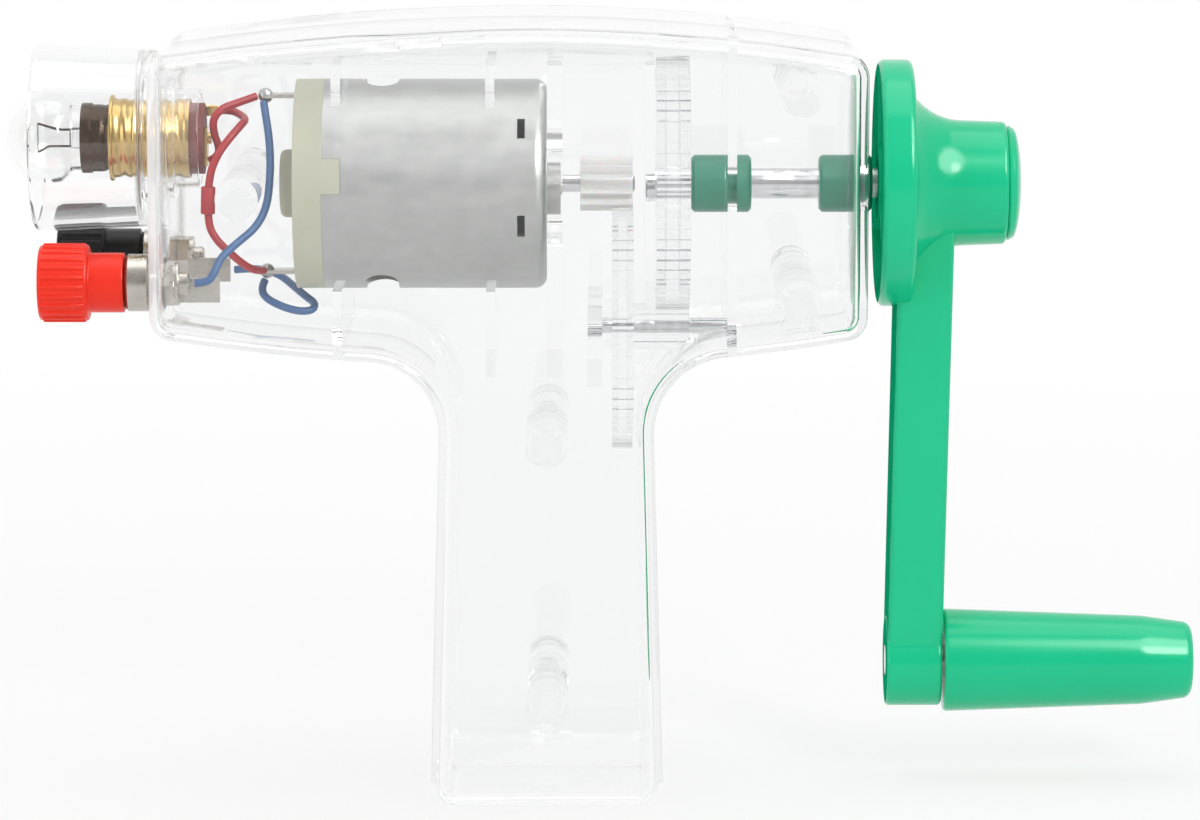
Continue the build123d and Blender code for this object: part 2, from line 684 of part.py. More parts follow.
# ---- Crank -----------------------------------------------------------------------------------------------------------
def crank():
    """Disc, flared hub, arm and foot boss moulded in one piece."""
    flare_end = disc_end + flare_length
    section = [
        Line((disc_start, 0), (disc_start, disc_radius)),
        Line((disc_start, disc_radius), (disc_end, disc_radius)),
        Line((disc_end, disc_radius), (disc_end, flare_radius)),
        TangentArc((flare_end, hub_radius), (disc_end, flare_radius), tangent=(-1, 0)),
        Line((flare_end, hub_radius), (hub_end, hub_radius - 0.2)),
        Line((hub_end, hub_radius - 0.2), (hub_end, 0)),
        Line((hub_end, 0), (disc_start, 0)),
    ]
    hub = turned(section)
    rims = [edge for edge in hub.edges().filter_by(GeomType.CIRCLE) if abs(edge.radius - disc_radius) < 0.01]
    hub = fillet(rims, disc_edge_round)
    rims = [edge for edge in hub.edges().filter_by(GeomType.CIRCLE) if abs(edge.radius - hub_radius + 0.2) < 0.01]
    hub = fillet(rims, 0.6)

    root_z = axis_height - hub_radius / 2
    root = Pos(arm_root_start + arm_thickness / 2, 0, root_z) * Rectangle(arm_thickness, arm_root_width)
    foot = Pos(arm_foot_start + arm_thickness / 2, 0, foot_height) * Rectangle(arm_thickness, arm_foot_width)
    arm = loft([root, foot])
    long_edges = [edge for edge in arm.edges() if edge.length > crank_throw / 2]
    arm = fillet(long_edges, arm_edge_round)
    boss = rod(arm_foot_start, arm_boss_end, arm_boss_radius, z=foot_height)
    boss = fillet(boss.edges().filter_by(GeomType.CIRCLE), 0.5)

    body = hub + arm + boss
    recess = ring(disc_start - 1, disc_start + disc_recess, disc_recess_outer, disc_recess_inner)
    for turn in range(3):
        spoke = slab(disc_start - 2, disc_start + disc_recess + 1, -0.7, 0.7, 0, disc_recess_outer + 1)
        recess -= Pos(0, 0, axis_height) * Rot(120 * turn, 0, 0) * spoke
    body -= recess
    body -= rod(disc_start - 1, hub_end, crank_shaft_radius + seat_fit)
    body -= rod(screw_pocket_floor, hub_end + 1, cap_skirt_radius + seat_fit)
    return body - rod(arm_foot_start - 1, arm_boss_end + 1, grip_pin_radius + seat_fit, z=foot_height)


def crank_cap():
    """Domed cap over the crank's screw, with a skirt that plugs into the hub."""
    crown = (hub_end + cap_height, 0)
    shoulder = (hub_end + cap_height / 3, cap_radius - 0.2)
    dome = turned([
        Line((hub_end, 0), (hub_end, cap_radius)),
        Line((hub_end, cap_radius), shoulder),
        TangentArc(crown, shoulder, tangent=(0, 1)),
        Line(crown, (hub_end, 0))])
    return dome + ring(hub_end - cap_skirt, hub_end, cap_skirt_radius, cap_skirt_radius - cap_skirt_wall)


def crank_screw():
    """Pan head screw that holds the crank on its shaft."""
    head = rod(screw_pocket_floor, screw_pocket_floor + screw_head_height, screw_head_radius)
    head = fillet(head.edges().sort_by(Axis.X)[-1], 0.6)
    slot = slab(screw_pocket_floor + screw_head_height - 0.7, hub_end, -0.35, 0.35,
                axis_height - screw_head_radius, axis_height + screw_head_radius)
    return head + rod(screw_pocket_floor - screw_length, screw_pocket_floor, screw_radius) - slot


def grip_pin():
    """Pin pressed in the arm's boss, with a barbed end that the grip snaps over."""
    end = grip_start + grip_pin_reach
    pin = rod(arm_foot_start, end, grip_pin_radius, z=foot_height)
    return pin + turned_polygon([(end - barb_length, 0), (end - barb_length, barb_radius),
                                 (end, grip_pin_radius - 0.3), (end, 0)], z=foot_height)


def crank_grip():
    """Tapered grip that turns on its pin."""
    shoulder = grip_end - grip_shoulder
    corner = grip_end - grip_end_corner
    grip = turned([
        Line((grip_start, 0), (grip_start, grip_root_radius)),
        Line((grip_start, grip_root_radius), (shoulder, grip_shoulder_radius)),
        TangentArc((shoulder, grip_shoulder_radius), (corner, grip_end_radius),
                   tangent=(shoulder - grip_start, grip_shoulder_radius - grip_root_radius)),
        ThreePointArc((corner, grip_end_radius),
                      (grip_end - 0.25 * grip_end_corner, grip_end_radius - 0.6), (grip_end, grip_face_radius)),
        Line((grip_end, grip_face_radius), (grip_end, 0)),
        Line((grip_end, 0), (grip_start, 0))], z=foot_height)
    pin_end = grip_start + grip_pin_reach
    grip -= rod(grip_start - 1, pin_end, grip_pin_radius + running_fit, z=foot_height)
    return grip - rod(pin_end - barb_length - side_gap, pin_end + side_gap, barb_radius + side_gap, z=foot_height)


# ---- Lamp ------------------------------------------------------------------------------------------------------------
def lamp_shroud():
    """Clear flared cup in front of the housing. Its sleeve passes the front wall, with a collar behind."""
    inner_sleeve = sleeve_radius - sleeve_wall
    cup = turned_polygon([
        (housing_front, inner_sleeve), (housing_front, shroud_rear_radius),
        (shroud_front, shroud_front_radius), (shroud_front, shroud_front_radius - shroud_wall),
        (housing_front - shroud_floor, shroud_rear_radius - shroud_wall),
        (housing_front - shroud_floor, inner_sleeve)], z=lamp_height)
    sleeve = ring(housing_front - 0.5, cavity_front + sleeve_end, sleeve_radius, inner_sleeve, z=lamp_height)
    collar_at = cavity_front + seat_fit
    collar = ring(collar_at, collar_at + collar_length, collar_radius, inner_sleeve, z=lamp_height)
    return cup + sleeve + collar


def threaded_profile(start, end, crest):
    """Points of a rolled thread's outer line from start to end, as rounded rings."""
    turns = max(2, round(abs(end - start) / thread_pitch))
    step = (end - start) / turns
    points = []
    for turn in range(turns):
        x = start + turn * step
        points += [(x + 0.1 * step, crest - thread_depth), (x + 0.35 * step, crest), (x + 0.65 * step, crest),
                   (x + 0.9 * step, crest - thread_depth)]
    return points


def lamp_socket():
    """Rolled brass socket with a flange at its mouth."""
    flange_end = socket_mouth + socket_flange
    points = [(socket_mouth, socket_bore), (socket_mouth, socket_flange_radius),
              (flange_end, socket_flange_radius)]
    points += threaded_profile(flange_end, socket_end, socket_radius)
    points += [(socket_end, socket_radius - thread_depth), (socket_end, socket_bore)]
    shell = turned_polygon(points, z=lamp_height)
    tab = slab(socket_end - 0.5, socket_end + socket_tab_length, -socket_tab_width / 2, socket_tab_width / 2,
               socket_bore + 0.1, socket_bore + 0.1 + socket_tab_thickness)
    return shell + Pos(0, 0, lamp_height) * Rot(-socket_tab_angle, 0, 0) * tab


def socket_disc():
    """Fibre disc that closes the socket's rear and holds its centre contact."""
    disc = rod(socket_end + seat_fit, socket_end + socket_disc_length, socket_disc_radius, z=lamp_height)
    return disc - rod(socket_end - 1, socket_end + socket_disc_length + 1, contact_radius / 2 + seat_fit,
                      z=lamp_height)


def socket_contact():
    """Rivet through the fibre disc, with a solder lug behind it."""
    rear = socket_end + socket_disc_length
    head_start = bulb_base_end + contact_length + seat_fit
    rivet = rod(head_start, socket_end, contact_radius, z=lamp_height)
    rivet += rod(socket_end - 0.1, rear + 0.9, contact_radius / 2, z=lamp_height)
    lug = slab(rear + seat_fit, rear + 0.4, -1.5, 1.5, lamp_height - 3.6, lamp_height + 1.5)
    return rivet + lug


def bulb_glass():
    """Hollow globe that narrows to a neck inside the base, closed there round the support wires."""
    middle = bulb_tip + globe_radius
    inner = globe_radius - glass_wall
    neck_inner = bulb_neck_radius - glass_wall
    meet = radians(globe_turn)
    outer_meet = (middle + globe_radius * sin(meet), globe_radius * cos(meet))
    inner_meet = (middle + inner * sin(meet), inner * cos(meet))
    slope = (cos(meet), -sin(meet))
    bulb = turned([
        ThreePointArc((bulb_tip, 0), (middle - globe_radius * cos(meet), globe_radius * sin(meet)), outer_meet),
        TangentArc(outer_meet, (bulb_base_start - 0.3, bulb_neck_radius), tangent=slope),
        Line((bulb_base_start - 0.3, bulb_neck_radius), (bulb_neck_end, bulb_neck_radius)),
        Line((bulb_neck_end, bulb_neck_radius), (bulb_neck_end, 0)),
        Line((bulb_neck_end, 0), (bulb_neck_end - neck_floor, 0)),
        Line((bulb_neck_end - neck_floor, 0), (bulb_neck_end - neck_floor, neck_inner)),
        Line((bulb_neck_end - neck_floor, neck_inner), (bulb_base_start - 0.3, neck_inner)),
        TangentArc(inner_meet, (bulb_base_start - 0.3, neck_inner), tangent=slope),
        ThreePointArc((bulb_tip + glass_wall, 0), (middle - inner * cos(meet), inner * sin(meet)), inner_meet),
        Line((bulb_tip, 0), (bulb_tip + glass_wall, 0))], z=lamp_height)
    for side in (1, -1):
        bulb -= rod(bulb_neck_end - neck_floor - 1, bulb_neck_end + 1, support_radius + seat_fit,
                    z=lamp_height + side * support_spread)
    return bulb


def bulb_base():
    """Rolled metal screw base round the bulb's neck."""
    inner = bulb_base_radius - thread_depth - bulb_base_wall
    plain = bulb_base_start + 2.6
    points = [(bulb_base_start, bulb_neck_radius + seat_fit), (bulb_base_start, bulb_base_radius),
              (plain, bulb_base_radius)]
    points += threaded_profile(plain, bulb_base_end, bulb_base_radius)
    points += [(bulb_base_end, bulb_base_radius - thread_depth), (bulb_base_end, inner),
               (bulb_neck_end + 0.1, inner), (bulb_neck_end + 0.1, bulb_neck_radius + seat_fit)]
    return turned_polygon(points, z=lamp_height)


def bulb_contact():
    """Glass insulator and centre contact at the end of the base."""
    inner = bulb_base_radius - thread_depth - bulb_base_wall - seat_fit
    return turned_polygon([
        (bulb_base_end - 1.2, 0), (bulb_base_end - 1.2, inner), (bulb_base_end, inner),
        (bulb_base_end + 0.7 * contact_length, contact_radius), (bulb_base_end + contact_length, 0.8),
        (bulb_base_end + contact_length, 0)], z=lamp_height)


def round_wire(path, radius):
    """Round wire along a path of straight runs and arcs."""
    start = path @ 0
    section = Plane(origin=start, z_dir=path % 0) * Circle(radius)
    return sweep(section, path=path)


def bulb_filament():
    """Two bent support wires through the neck's floor and a glass bead, with the filament between their tips."""
    bead = rod(bulb_base_start - bead_length, bulb_base_start, bead_radius, z=lamp_height)
    bead = fillet(bead.edges(), 0.3)
    tips = []
    wires = []
    for side, bend in zip((1, -1), support_knees):
        low = (bulb_neck_end + support_root, 0, lamp_height + side * support_spread)
        knee = (bulb_base_start - bend, 0, lamp_height + side * support_spread)
        tip = (bulb_base_start - filament_reach, 0, lamp_height + side * filament_spread)
        wires.append(round_wire(FilletPolyline(low, knee, tip, radius=1.0), support_radius))
        tips.append(tip)
    middle = (bulb_base_start - filament_reach - filament_sag, 0, lamp_height)
    coil = FilletPolyline(tips[0], middle, tips[1], radius=1.5)
    return bead + wires[0] + wires[1] + round_wire(coil, filament_radius)


# ---- Binding posts ---------------------------------------------------------------------------------------------------
def post_places():
    """Y of the red post, on the near side, and of the black post."""
    return [-post_spread, post_spread]


def binding_knob(y):
    """Fluted knob with a narrow neck and a blind threaded hole, shown without its thread."""
    neck_end = knob_start - knob_neck_length
    section = Circle(knob_radius)
    for flute in range(knob_flutes):
        angle = 2 * pi * flute / knob_flutes
        section -= Pos(knob_radius * cos(angle), knob_radius * sin(angle)) * Circle(knob_flute_radius)
    head = across(section, knob_end, neck_end, y, post_height)
    blank = chamfer(rod(knob_end, neck_end, knob_radius, y, post_height).edges(), knob_edge)
    knob = (head & blank) + rod(neck_end, knob_start, knob_neck_radius, y, post_height)
    return knob - rod(knob_end + knob_wall, knob_start + 1, post_radius + running_fit, y, post_height)


def post_studs():
    """Threaded studs through the front wall, shown without their threads."""
    front = knob_end + knob_wall + 0.6
    return [chamfer(rod(front, tag_end + post_tail, post_radius, y, post_height).edges(), 0.25)
            for y in post_places()]


def post_collars():
    """Metal seats that the knobs clamp a lead against."""
    pieces = []
    for y in post_places():
        collar = chamfer(rod(collar_start, housing_front, post_collar_radius, y, post_height).edges(), 0.4)
        pieces.append(collar - rod(collar_start - 1, housing_front + 1, post_radius + seat_fit, y, post_height))
    return pieces


def post_nuts():
    pieces = []
    for y in post_places():
        nut = across(RegularPolygon(nut_flats / 2, 6, major_radius=False), cavity_front, nut_end, y, post_height)
        pieces.append(nut - rod(cavity_front - 1, nut_end + 1, post_radius + seat_fit, y, post_height))
    return pieces


def solder_tags():
    """Ring tags under the nuts' faces, each with a tongue turned back along X."""
    pieces = []
    for y in post_places():
        tag = ring(nut_end, tag_end, tag_radius, post_radius + seat_fit, y, post_height)
        low = post_height - tag_radius
        inward = -1 if y > 0 else 1
        edge = y + inward * tag_radius
        strap = slab(nut_end, tag_end, edge, y + inward * (post_radius + 0.6), low, low + tag_width)
        tongue = slab(nut_end, nut_end + tag_length, edge, edge - inward * tag_thickness, low, low + tag_width)
        pieces.append(tag + strap + tongue)
    return pieces


# ---- Wires -----------------------------------------------------------------------------------------------------------
def wire_path(points):
    """Straight runs joined by arcs, each as large as its two runs allow."""
    places = [Vector(*point) for point in points]
    radii = []
    for before, here, after in zip(places, places[1:], places[2:]):
        turn = radians((here - before).get_angle(after - here))
        shorter = min((here - before).length, (after - here).length)
        radii.append(0.45 * shorter / tan(turn / 2))
    return FilletPolyline(*places, radius=radii)


# Each route is a list of places, chosen by hand: x, y, and height above the main axis.
wire_routes = {
    # from the top terminal's joint to the lamp's centre contact
    "red_wire_lamp": [
        (-38.45, -0.2, 11.6), (-39.7, -0.9, 11.2), (-41.1, -2.0, 10.8), (-42.8, -3.0, 10.3),
        (-44.0, -3.4, 8.9), (-43.9, -2.6, 6.8), (-43.3, -1.7, 5.1), (-43.5, -0.9, 3.7), (-44.65, -0.5, 3.1)],
    # from the socket's solder tab to the bottom terminal's joint, through the heat sleeve
    "red_wire_return": [
        (-43.6, 3.9, 9.3), (-42.0, 3.5, 9.4), (-40.6, 1.8, 8.9), (-39.8, -0.8, 8.6), (-40.1, -3.6, 8.3),
        (-41.5, -5.6, 6.8), (-43.2, -6.4, 4.6), (-44.4, -6.5, 1.6), (-44.6, -6.5, -4.6), (-43.5, -6.5, -6.7),
        (-42.1, -6.4, -8.1), (-40.7, -5.8, -9.5), (-39.4, -4.4, -10.7), (-38.3, -2.9, -11.3),
        (-37.6, -1.3, -11.5)],
    # from the top terminal's joint to the red post
    "blue_wire_red_post": [
        (-37.4, -0.95, 10.85), (-37.1, -2.2, 9.3), (-36.6, -4.0, 7.0), (-36.3, -5.6, 4.0), (-36.35, -7.0, 0.8),
        (-36.7, -8.2, -2.2), (-38.0, -9.4, -4.7), (-40.3, -10.6, -6.5), (-42.6, -11.8, -8.4),
        (-43.4, -12.8, -10.5), (-44.4, -13.0, -11.6), (-45.9, -13.0, -11.6)],
    # from the black post's tag, round below the motor, to the bottom terminal's joint
    "blue_wire_black_post": [
        (-42.25, 10.35, -12.9), (-40.3, 10.1, -12.7), (-38.0, 8.8, -12.7), (-35.7, 6.4, -13.2),
        (-33.9, 3.4, -14.2), (-32.2, 0.8, -15.2), (-30.7, -1.4, -15.9), (-31.1, -3.2, -16.6),
        (-33.0, -3.8, -16.6), (-35.4, -3.4, -15.9), (-37.4, -2.2, -15.0), (-38.0, -0.9, -13.9),
        (-37.5, -0.2, -12.9)],
}


def route(name):
    return [(x, y, axis_height + rise) for x, y, rise in wire_routes[name]]


def wire(name):
    """One insulated wire, round all along."""
    path = wire_path(route(name))
    solid = round_wire(path, wire_radius)
    tube = pi * wire_radius ** 2 * path.length
    print(f"{name}: {path.length:.1f} mm long, volume {solid.volume / tube:.4f} of its section times length")
    return solid


def heat_sleeve():
    """Shrunk sleeve over the splice, on the longest straight run of the return wire."""
    places = [Vector(*place) for place in route("red_wire_return")]
    high, low = max(zip(places, places[1:]), key=lambda run: (run[1] - run[0]).length)
    middle = (low + high) / 2
    along = (high - low).normalized()
    start = middle - along * (sleeve_length / 2)
    plane = Plane(origin=start, z_dir=along)
    section = plane * (Circle(heat_sleeve_radius) - Circle(wire_radius + seat_fit))
    return extrude(section, amount=sleeve_length)


def solder_joints():
    """Blobs of solder over the ends of the motor's terminals."""
    joints = []
    for side in (1, -1):
        middle = (bell_rear - terminal_tail - 0.1, 0, axis_height + side * terminal_reach)
        joints.append(Pos(*middle) * Sphere(joint_radius) - terminal_strip(side, seat_fit))
    return joints


# ---- Writing ---------------------------------------------------------------------------------------------------------
def write(name, *solids):
    """Writes one node, from one solid or from several separate ones."""
    shape = solids[0] if len(solids) == 1 else Compound(children=list(solids))
    shape.label = name
    export_step(shape, f"parts/{name}.step")


def main():
    half = housing_half()
    write("housing_near", housing_near(half))
    write("housing_far", housing_far(half))
    write("lamp_shroud", lamp_shroud())
    write("lamp_socket", lamp_socket())
    write("socket_disc", socket_disc())
    write("socket_contact", socket_contact())
    write("bulb_glass", bulb_glass())
    write("bulb_base", bulb_base())
    write("bulb_contact", bulb_contact())
    write("bulb_filament", bulb_filament())
    write("red_knob", binding_knob(-post_spread))
    write("black_knob", binding_knob(post_spread))
    write("post_studs", *post_studs())
    write("post_collars", *post_collars())
    write("post_nuts", *post_nuts())
    write("solder_tags", *solder_tags())
    write("motor_can", motor_can())
    write("motor_end_bell", motor_end_bell())
    write("motor_terminals", *motor_terminals())
    write("motor_brushes", *motor_brushes())
    write("motor_bearings", *motor_bearings())
    write("motor_magnets", *motor_magnets())
    write("armature_core", armature_core())
    write("armature_windings", *armature_windings())
    write("commutator", commutator())
    write("motor_shaft", motor_shaft())
    write("motor_pinion", motor_pinion())
    write("compound_gear", compound_gear())
    write("layshaft", layshaft())
    write("crank_gear", crank_gear())
    write("inner_bush", inner_bush())
    write("outer_bush", outer_bush())
    write("crank_shaft", crank_shaft())
    write("crank", crank())
    write("crank_cap", crank_cap())
    write("crank_screw", crank_screw())
    write("grip_pin", grip_pin())
    write("crank_grip", crank_grip())
    for name in wire_routes:
        write(name, wire(name))
    write("heat_sleeve", heat_sleeve())
    write("solder_joints", *solder_joints())


main()
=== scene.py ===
# %% [markdown]
# # A clear hand crank generator
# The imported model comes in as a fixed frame: every piece has its real size and place already. This file
# gives each piece its finish, and makes afresh the pieces whose form a CAD solid only hints at: the
# rolled threads, the insulated wires, the ribbed knobs, the blown glass and the turned mouldings.

# %% Load the frame
import json
from math import cos, pi, radians, sin, tan

import bmesh
import bpy
from mathutils import Matrix, Vector


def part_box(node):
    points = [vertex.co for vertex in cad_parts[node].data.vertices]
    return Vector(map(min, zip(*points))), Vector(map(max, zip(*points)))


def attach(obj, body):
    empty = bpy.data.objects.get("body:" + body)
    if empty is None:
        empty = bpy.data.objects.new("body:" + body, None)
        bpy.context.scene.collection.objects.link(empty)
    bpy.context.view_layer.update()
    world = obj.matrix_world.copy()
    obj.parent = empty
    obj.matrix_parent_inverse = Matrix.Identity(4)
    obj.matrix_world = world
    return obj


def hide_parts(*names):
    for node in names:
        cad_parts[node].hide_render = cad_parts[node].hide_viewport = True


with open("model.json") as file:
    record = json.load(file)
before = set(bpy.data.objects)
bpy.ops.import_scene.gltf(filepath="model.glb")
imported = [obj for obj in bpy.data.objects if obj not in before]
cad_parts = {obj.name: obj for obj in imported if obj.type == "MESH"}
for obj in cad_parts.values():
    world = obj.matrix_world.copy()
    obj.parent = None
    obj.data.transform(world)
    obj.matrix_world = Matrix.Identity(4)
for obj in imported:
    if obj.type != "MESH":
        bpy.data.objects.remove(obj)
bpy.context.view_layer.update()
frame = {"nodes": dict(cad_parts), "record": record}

nodes = frame["nodes"]
scene = bpy.context.scene
scene.view_settings.view_transform = "Standard"
mm = 0.001


def new_object(name, data):
    """A new object at the origin, linked to the scene."""
    thing = bpy.data.objects.new(name, data)
    scene.collection.objects.link(thing)
    return thing


# %% [markdown]
# ## Camera
# The photograph is taken nearly square to the side, from far away: a long lens that looks down by nine
# degrees. The foot's near and far edges, and the two binding posts, gave that angle.

# %% Camera
look_at = Vector((0.007, 0.0, 0.050))
camera_distance = 0.721
camera_elevation = radians(9.0)
camera_lens = 162.0   # mm
film_width = 36.0     # mm
to_camera = Vector((0.0, -cos(camera_elevation), sin(camera_elevation)))

camera_data = bpy.data.cameras.new("camera")
camera_data.lens = camera_lens
camera_data.sensor_width = film_width
camera = new_object("camera", camera_data)
camera.location = look_at + camera_distance * to_camera
camera.rotation_mode = "QUATERNION"
camera.rotation_quaternion = (-to_camera).to_track_quat("-Z", "Y")
scene.camera = camera
print("camera at, in mm:", [round(v / mm) for v in camera.location])

# %% [markdown]
# ## Small helpers for shader nodes
# A material is a chain of nodes, and so is the world. A few short functions that add a node or join two
# sockets keep each finish readable. Patterns read Object coordinates, so they stay on the piece when it
# moves.

# %% Shader helpers
# A Mix node's colour sockets share their names with others, so they are found by number.
mix_first = 6
mix_second = 7
mix_result = 2


def add(owner, kind, name, **values):
    """Adds a shader node to a material or world. Each value is for an input socket or a setting."""
    node = owner.node_tree.nodes.new("ShaderNode" + kind)
    node.name = name
    for key, value in values.items():
        socket = node.inputs.get(key.replace("_", " "))
        if socket is None:
            setattr(node, key, value)
        else:
            socket.default_value = value
    return node


def join(owner, source, into):
    """Joins an output socket to an input, or sets the input to a plain value."""
    if isinstance(source, bpy.types.NodeSocket):
        owner.node_tree.links.new(source, into)
    else:
        into.default_value = source


def surface(owner, shader):
    join(owner, shader.outputs[0], owner.node_tree.nodes["output"].inputs["Surface"])


def new_material(name):
    """An empty material with its output node."""
    material = bpy.data.materials.new(name)
    material.use_nodes = True
    material.node_tree.nodes.clear()
    add(material, "OutputMaterial", "output")
    return material


# %% Sums and mixtures
def compute(owner, name, operation, one, two=0.0):
    """The result of a Math node. Each input is a socket or a number."""
    node = add(owner, "Math", name, operation=operation)
    join(owner, one, node.inputs[0])
    join(owner, two, node.inputs[1])
    return node.outputs[0]


def spread_over(owner, name, source, low, high, first=0.0, last=1.0):
    """Goes from first to last while the source goes from low to high, and no further."""
    node = add(owner, "MapRange", name, From_Min=low, From_Max=high, To_Min=first, To_Max=last)
    join(owner, source, node.inputs["Value"])
    return node.outputs["Result"]


def mixed_colour(owner, name, share, first, second):
    """A mixture of two colours. The share says how much of the second."""
    mix = add(owner, "Mix", name, data_type="RGBA")
    join(owner, share, mix.inputs["Factor"])
    join(owner, first, mix.inputs[mix_first])
    join(owner, second, mix.inputs[mix_second])
    return mix.outputs[mix_result]


def mixed_shader(owner, name, share, first, second):
    """A mixture of two shaders. The share says how much of the second."""
    mix = add(owner, "MixShader", name)
    for socket, source in zip(mix.inputs, (share, first.outputs[0], second.outputs[0])):
        join(owner, source, socket)
    return mix


# %% Patterns
def object_noise(material, name, size, detail=2.0, stretch=(1, 1, 1)):
    """Noise in Object coordinates with patches of a size in mm, stretched along the axes."""
    place = add(material, "TexCoord", name + " place")
    mapping = add(material, "Mapping", name + " mapping", Scale=stretch)
    noise = add(material, "TexNoise", name, Scale=1 / (size * mm), Detail=detail)
    join(material, place.outputs["Object"], mapping.inputs["Vector"])
    join(material, mapping.outputs["Vector"], noise.inputs["Vector"])
    return noise.outputs["Fac"]


def raise_surface(material, noise, depth, shader):
    """Lets a noise raise the shader's surface by a depth in mm."""
    bump = add(material, "Bump", "bump", Strength=1.0, Distance=depth * mm)
    join(material, noise, bump.inputs["Height"])
    join(material, bump.outputs["Normal"], shader.inputs["Normal"])


# %% [markdown]
# ## Clear plastic and glass
# Polished clear plastic bends what is behind it and shows itself mostly at its edges. A glass shader
# does that, but a path tracer then lights the inside only through caustics, which are dark and grainy.
# So shadow rays and soft bounced rays go straight through, a little dimmed, and only what the eye
# follows is bent. A ray that has bent many times is caught between a wall's two faces; it too is let
# out, so that rounded edges look pale.

# %% Clear materials
most_bends = 7


def clear(name, tint, roughness, ior, ripple_size, ripple_depth, through=0.96):
    """A see-through solid. Sizes are in mm, and through is what a straight ray keeps at each face."""
    material = new_material(name)
    glass = add(material, "BsdfPrincipled", "glass", Base_Color=(*tint, 1), Roughness=roughness, IOR=ior,
                Transmission_Weight=1.0)
    raise_surface(material, object_noise(material, "ripple", ripple_size, detail=1.0), ripple_depth, glass)
    pass_through = add(material, "BsdfTransparent", "pass through", Color=(through, through, through, 1))
    rays = add(material, "LightPath", "rays").outputs
    unseen = compute(material, "unseen", "MAXIMUM", rays["Is Shadow Ray"], rays["Is Diffuse Ray"])
    caught = compute(material, "caught", "GREATER_THAN", rays["Ray Depth"], most_bends)
    either = compute(material, "either", "MAXIMUM", unseen, caught)
    surface(material, mixed_shader(material, "mix", either, glass, pass_through))
    return material


shell_plastic = clear("clear shell plastic", (0.962, 0.964, 0.965), 0.015, 1.46, 9.0, 0.010)
gear_plastic = clear("clear gear plastic", (0.985, 0.99, 0.99), 0.12, 1.09, 3.0, 0.010)
bulb_clear = clear("bulb glass", (0.99, 0.99, 0.99), 0.0, 1.50, 6.0, 0.004, through=0.98)
print("clear materials:", shell_plastic.name, gear_plastic.name, bulb_clear.name)

# %% [markdown]
# ## The painted highlight on the front rim
# The upright rims of the front wall are looked at along their whole depth, where light gathered in
# the wall makes them look white. A little diffuse white, faded in by place over the rims, paints that
# highlight.

# %% Painted rim highlight
front_rim_x = (-49.7 * mm, -50.6 * mm)
front_rim_y = (13.5 * mm, 17.0 * mm)
# The white mixed over the rims is a painted highlight.
rim_highlight_share = 0.72
rim_highlight_colour = (0.97, 0.97, 0.97, 1)


def paint_rim_highlight(material):
    """Mixes a painted white highlight into a clear material, at the front wall's near and far rims."""
    plain = material.node_tree.nodes["mix"]
    place = add(material, "TexCoord", "rim place")
    parts = add(material, "SeparateXYZ", "rim parts")
    join(material, place.outputs["Object"], parts.inputs[0])
    aside = compute(material, "aside", "ABSOLUTE", parts.outputs["Y"])
    along = spread_over(material, "along", parts.outputs["X"], *front_rim_x)
    across = spread_over(material, "across", aside, *front_rim_y)
    both = compute(material, "both", "MULTIPLY", along, across)
    part = compute(material, "part", "MULTIPLY", both, rim_highlight_share)
    white = add(material, "BsdfDiffuse", "white", Color=rim_highlight_colour)
    surface(material, mixed_shader(material, "rim", part, plain, white))


paint_rim_highlight(shell_plastic)
print("the rim is white before x =", round(front_rim_x[1] / mm, 1), "mm")

# %% [markdown]
# ## Opaque finishes
# One function makes them all: two close colours, a roughness that drifts, and a relief as fine as the
# real one. A moulded part has faint flow marks, a turned shaft has rings round its axis, and plated
# steel is mottled.


# %% Opaque materials
def finish(name, colour, other, roughness, patch_size, bump_size, bump_depth, stretch=(1, 1, 1), **sockets):
    """A surface that drifts between two colours and roughnesses, with a relief. Sizes are in mm."""
    material = new_material(name)
    shader = add(material, "BsdfPrincipled", "shader", **sockets)
    patches = object_noise(material, "patches", patch_size, stretch=stretch)
    drift = mixed_colour(material, "colour", patches, (*colour, 1), (*other, 1))
    sheen = spread_over(material, "roughness", patches, 0.0, 1.0, *roughness)
    join(material, drift, shader.inputs["Base Color"])
    join(material, sheen, shader.inputs["Roughness"])
    raise_surface(material, object_noise(material, "relief", bump_size, 3.0, stretch), bump_depth, shader)
    surface(material, shader)
    return material


# %% Plastics
green_plastic = finish("green crank plastic", (0.004, 0.500, 0.235), (0.006, 0.560, 0.275), (0.13, 0.20),
                       14.0, 1.1, 0.003, Specular_IOR_Level=0.32)
# A darker, matt copy of the green for the crank's faces that look at the shell: painted shade.
green_painted_shade = finish("green crank plastic, painted shade on inner faces", (0.003, 0.330, 0.150), (0.004, 0.370, 0.175),
                    (0.75, 0.85), 14.0, 1.1, 0.003, Specular_IOR_Level=0.0)
bush_plastic = finish("dark green bush plastic", (0.010, 0.215, 0.130), (0.016, 0.280, 0.175), (0.25, 0.38),
                      3.0, 0.5, 0.004)
red_plastic = finish("red knob plastic", (0.88, 0.030, 0.008), (0.78, 0.020, 0.006), (0.28, 0.42),
                     4.0, 0.5, 0.006, Specular_IOR_Level=0.3)
black_plastic = finish("black knob plastic", (0.006, 0.006, 0.007), (0.012, 0.012, 0.013), (0.28, 0.42),
                       4.0, 0.5, 0.006, Specular_IOR_Level=0.25)
milky_nylon = finish("milky nylon", (0.93, 0.92, 0.91), (0.86, 0.86, 0.85), (0.30, 0.45),
                     2.0, 0.4, 0.004, Subsurface_Weight=0.35, Subsurface_Scale=0.001)
cream_nylon = finish("cream bell plastic", (0.50, 0.505, 0.385), (0.58, 0.575, 0.47), (0.38, 0.52),
                     5.0, 0.5, 0.006, Subsurface_Weight=0.15, Subsurface_Scale=0.001)
red_sheath = finish("red wire sheath", (0.55, 0.010, 0.022), (0.40, 0.008, 0.018), (0.34, 0.48),
                    2.0, 0.4, 0.008)
